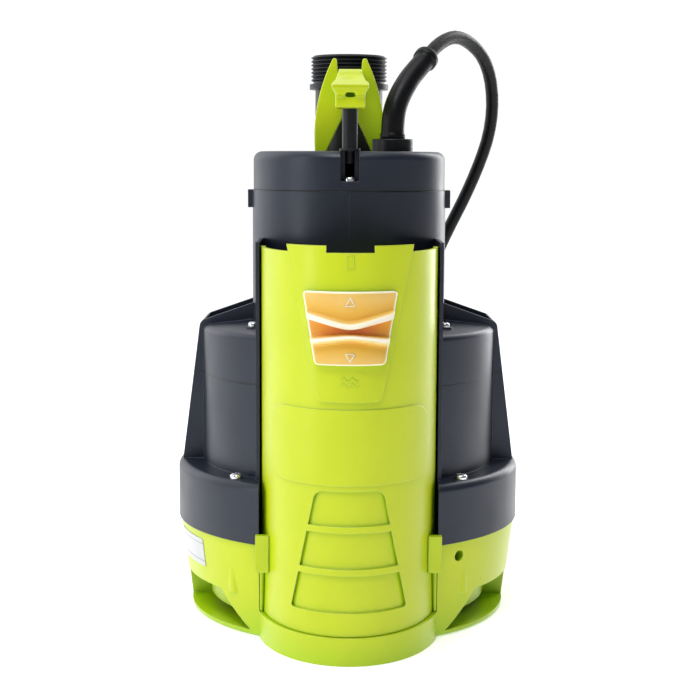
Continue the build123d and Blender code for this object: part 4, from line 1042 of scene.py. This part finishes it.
# ---------------------------------------------------------------- supply cable: route and coil
CORD_D = 8.3
CORD_ROUTE = (
    (46.0, 18, 328),
    (54, 33, 339),
    (71, 60, 346),
    (92, 91, 330),
    (97, 110, 292),
    (84, 121, 252),
    (64, 125, 212),
    (47, 125, 170),
    (36, 122, 128),
    (30, 119, 88),
    (24, 118, 52),
    (8, 118, 21),
    (-20, 119, 4.15),
    (-52, 129, 4.15),
    (-80, 153, 4.15),
    (-93, 185, 4.15),
)
COIL_CENTRE = (0.0, 218.0)
COIL_MEAN_R = 70.0
COIL_WIDE = 5
COIL_LAYERS = 5
TURN_APART = 8.6
LAYER_APART = 8.5
POINTS_A_TURN = 24
COIL_TURNS = 21.25
SHIFT_HALF = 0.12
PLUG_RISE, PLUG_LEVEL = 0.22, 0.04


def next_turn(after, share):
    """The first turn count past `after` that stands at this share of a turn."""
    return share + math.ceil(after - share + 0.01)


def coil_plan():
    """The coil's changes of place in travel order: (turn count, column, layer)."""
    column, step, turn = COIL_WIDE - 1, -1, 0.0
    changes = []
    for layer in range(COIL_LAYERS):
        sideways, climb = ((0.5, 0.25), (0.0, 0.75))[layer % 2]
        if layer:
            changes.append((turn, column, layer))
        while 0 <= column + step < COIL_WIDE:
            turn = next_turn(turn, sideways)
            column += step
            changes.append((turn, column, layer))
        turn = next_turn(turn, climb)
        step = -step
    return [change for change in changes if change[0] < COIL_TURNS]


def coil_points():
    """The neat coil's points, clockwise from its left side, lowest and outermost turn first."""
    changes = coil_plan()
    points = []
    for index in range(round(COIL_TURNS * POINTS_A_TURN) + 1):
        turn = index / POINTS_A_TURN
        column, layer = COIL_WIDE - 1.0, 0.0
        for at, next_column, next_layer in changes:
            share = eased(turn, at - SHIFT_HALF, at + SHIFT_HALF)
            column += (next_column - column) * share
            layer += (next_layer - layer) * share
        angle = math.pi - 2 * math.pi * turn
        radius = COIL_MEAN_R + (column - (COIL_WIDE - 1) / 2) * TURN_APART
        radius /= math.cos(math.pi / POINTS_A_TURN)
        height = CORD_D / 2 + layer * LAYER_APART
        rise = eased(turn, COIL_TURNS - PLUG_RISE, COIL_TURNS - PLUG_LEVEL)
        height += (PLUG_CENTRE[1] - height) * rise
        points.append(
            (
                COIL_CENTRE[0] + radius * math.cos(angle),
                COIL_CENTRE[1] + radius * math.sin(angle),
                height,
            )
        )
    return points


TIE_REACH, TIE_HALF, TIE_THICK = 22.4, 4.0, 1.3
TIE_BOTTOM, TIE_SLACK = 1.5, 0.4
TIE_LOW_CORNER, TIE_TOP_CORNER, TIE_CORNER_STEPS = 3.5, 6.0, 6
LAP_START, LAP_STEP, LAP_STEPS = 62.0, 1.8, 12
LAP_HALF, LAP_THICK, LAP_GAP, LAP_LIFT = 3.8, 1.1, 0.1, 0.9


def add_tie(coil_top):
    """A hook-and-loop strap round the coil's right side, with its end lapped over on top."""
    low_x, high_x, y = COIL_MEAN_R - TIE_REACH, COIL_MEAN_R + TIE_REACH, COIL_CENTRE[1]
    top = coil_top + TIE_SLACK
    corners = ((high_x, top), (low_x, top), (low_x, TIE_BOTTOM), (high_x, TIE_BOTTOM))
    rings = []
    for quarter, (x, z) in enumerate(corners):
        side, rise = (1 if x > low_x else -1), (1 if z > TIE_BOTTOM else -1)
        radius = TIE_TOP_CORNER if rise > 0 else TIE_LOW_CORNER
        for step in range(TIE_CORNER_STEPS + 1):
            turn = math.pi / 2 * (quarter + step / TIE_CORNER_STEPS)
            outer_x = x - side * radius + radius * math.cos(turn)
            outer_z = z - rise * radius + radius * math.sin(turn)
            inner_x, inner_z = outer_x - TIE_THICK * math.cos(turn), outer_z - TIE_THICK * math.sin(turn)
            rings.append(
                [
                    (inner_x, y - TIE_HALF, inner_z),
                    (outer_x, y - TIE_HALF, outer_z),
                    (outer_x, y + TIE_HALF, outer_z),
                    (inner_x, y + TIE_HALF, inner_z),
                ]
            )
    strap = finish_piece(skin("coil_strap", rings, looped=True), "pump", "seal_rubber", "coil_tie")
    return [strap, add_strap_end(top)]


def add_strap_end(top):
    """The strap's end on top of it, lifted a little at its tip."""
    rings = []
    for step in range(LAP_STEPS + 1):
        x = LAP_START + LAP_STEP * step
        under = top + LAP_GAP + LAP_LIFT * eased(step, 8, LAP_STEPS)
        sides = ((-LAP_HALF, 0), (-LAP_HALF, LAP_THICK), (LAP_HALF, LAP_THICK), (LAP_HALF, 0))
        rings.append([(x, COIL_CENTRE[1] + side, under + rise) for side, rise in sides])
    return finish_piece(skin("coil_strap_end", rings), "pump", "seal_rubber")


def add_cord():
    """The whole supply cable: the free stretch, the coil's turns and the end that goes into the plug."""
    points = [*CORD_ROUTE, *coil_points()]
    curve = bpy.data.curves.new("supply_cable", "CURVE")
    curve.dimensions = "3D"
    spline = curve.splines.new("NURBS")
    spline.points.add(len(points) - 1)
    for point, place in zip(spline.points, points):
        point.co = (*(value * MM for value in place), 1.0)
        point.radius = CORD_D / 2 * MM
    spline.order_u = 3
    spline.use_endpoint_u = True
    spline.resolution_u = 5
    curve.bevel_depth = 1.0
    curve.bevel_resolution = 4
    curve.use_fill_caps = True
    cable = bpy.data.objects.new("supply_cable", curve)
    return finish_piece(cable, "pump", "cable_rubber", "cord_run", "cord_coil")


coil_height = CORD_D + (COIL_LAYERS - 1) * LAYER_APART
add_cord()
add_bend_relief()
add_plug()
add_tie(coil_height)


# ---------------------------------------------------------------- floor, world and lights
# The floor's width and the lights' sizes, places and aim are in metres.
FLOOR_METRES, FLOOR_GAP = 12, 0.2
FRONT_STRENGTH, BACK_STRENGTH, FRONT_BLEND = 0.06, 1.03, 0.35
PANEL_WAY, PANEL_INNER, PANEL_OUTER, PANEL_STRENGTH = 1.4, 0.35, 0.52, 0.12
SIDES_START, SIDES_FULL, SIDES_STRENGTH = 0.35, 0.65, 1.9
LIGHTS_AIM = (0, 0, 0.16)


def add_floor():
    """A plain pale floor just under the object's foot."""
    bpy.ops.mesh.primitive_plane_add(size=FLOOR_METRES)
    floor = bpy.context.object
    floor.name = "floor"
    floor.location = (0, 0, -FLOOR_GAP * MM)
    recipe = Recipe("floor")
    tone = recipe.ramp(recipe.noise(60), (0.3, (0.86, 0.86, 0.865)), (0.7, (0.88, 0.88, 0.88)))
    floor.data.materials.append(
        recipe.finish(
            Base_Color=tone,
            Roughness=0.55,
            Emission_Color=(1, 1, 1, 1),
            Emission_Strength=0.42,
        )
    )


def add_world():
    """A studio bright behind and at the sides, dim in front, with a dark panel on the right."""
    world = bpy.data.worlds.new("studio")
    scene.world = world
    world.use_nodes = True
    tree = world.node_tree
    background = tree.nodes["Background"]

    def put(kind, values=(), **settings):
        """Adds a node, sets it and its first inputs, and returns its first output."""
        node = tree.nodes.new(kind)
        for name, value in settings.items():
            setattr(node, name, value)
        for socket, value in zip(node.inputs, values):
            if isinstance(value, bpy.types.NodeSocket):
                tree.links.new(value, socket)
            else:
                socket.default_value = value
        return node.outputs[0]

    way = put("ShaderNodeTexCoord").node.outputs["Generated"]
    apart = put("ShaderNodeSeparateXYZ", [way]).node.outputs
    x, y = apart["X"], apart["Y"]
    front = put("ShaderNodeMapRange", [y, -FRONT_BLEND, FRONT_BLEND, FRONT_STRENGTH, BACK_STRENGTH])
    azimuth = put("ShaderNodeMath", [x, y], operation="ARCTAN2")
    offset = put("ShaderNodeMath", [azimuth, PANEL_WAY], operation="SUBTRACT")
    away = put("ShaderNodeMath", [offset], operation="ABSOLUTE")
    panel = put("ShaderNodeMapRange", [away, PANEL_INNER, PANEL_OUTER, PANEL_STRENGTH, 1.0])
    sideways = put("ShaderNodeMath", [x], operation="ABSOLUTE")
    sides = put("ShaderNodeMapRange", [sideways, SIDES_START, SIDES_FULL, 1.0, SIDES_STRENGTH])
    strength = put("ShaderNodeMath", [front, panel], operation="MULTIPLY")
    strength = put("ShaderNodeMath", [strength, sides], operation="MULTIPLY")
    tree.links.new(strength, background.inputs["Strength"])
    background.inputs["Color"].default_value = (0.985, 0.99, 1.0, 1)


def softbox(name, place, size, energy):
    """A soft rectangular light at a place in metres, facing the object's middle."""
    light = bpy.data.lights.new(name, "AREA")
    light.shape = "RECTANGLE"
    light.size, light.size_y = size
    light.energy = energy
    holder = bpy.data.objects.new(name, light)
    scene.collection.objects.link(holder)
    aim = Vector(LIGHTS_AIM) - Vector(place)
    holder.matrix_world = Matrix.Translation(place) @ aim.to_track_quat("-Z", "Y").to_matrix().to_4x4()


add_floor()
add_world()
softbox("key_left", (-1.5, -0.8, 0.6), (0.5, 1.6), 8.5)
softbox("front", (-0.3, -1.15, 1.8), (0.6, 0.5), 15)
softbox("rim_right", (0.9, 1.2, 0.6), (0.4, 1.6), 9)
softbox("top", (0.0, -0.3, 1.5), (1.0, 0.8), 7)
scene.view_settings.view_transform = "Standard"
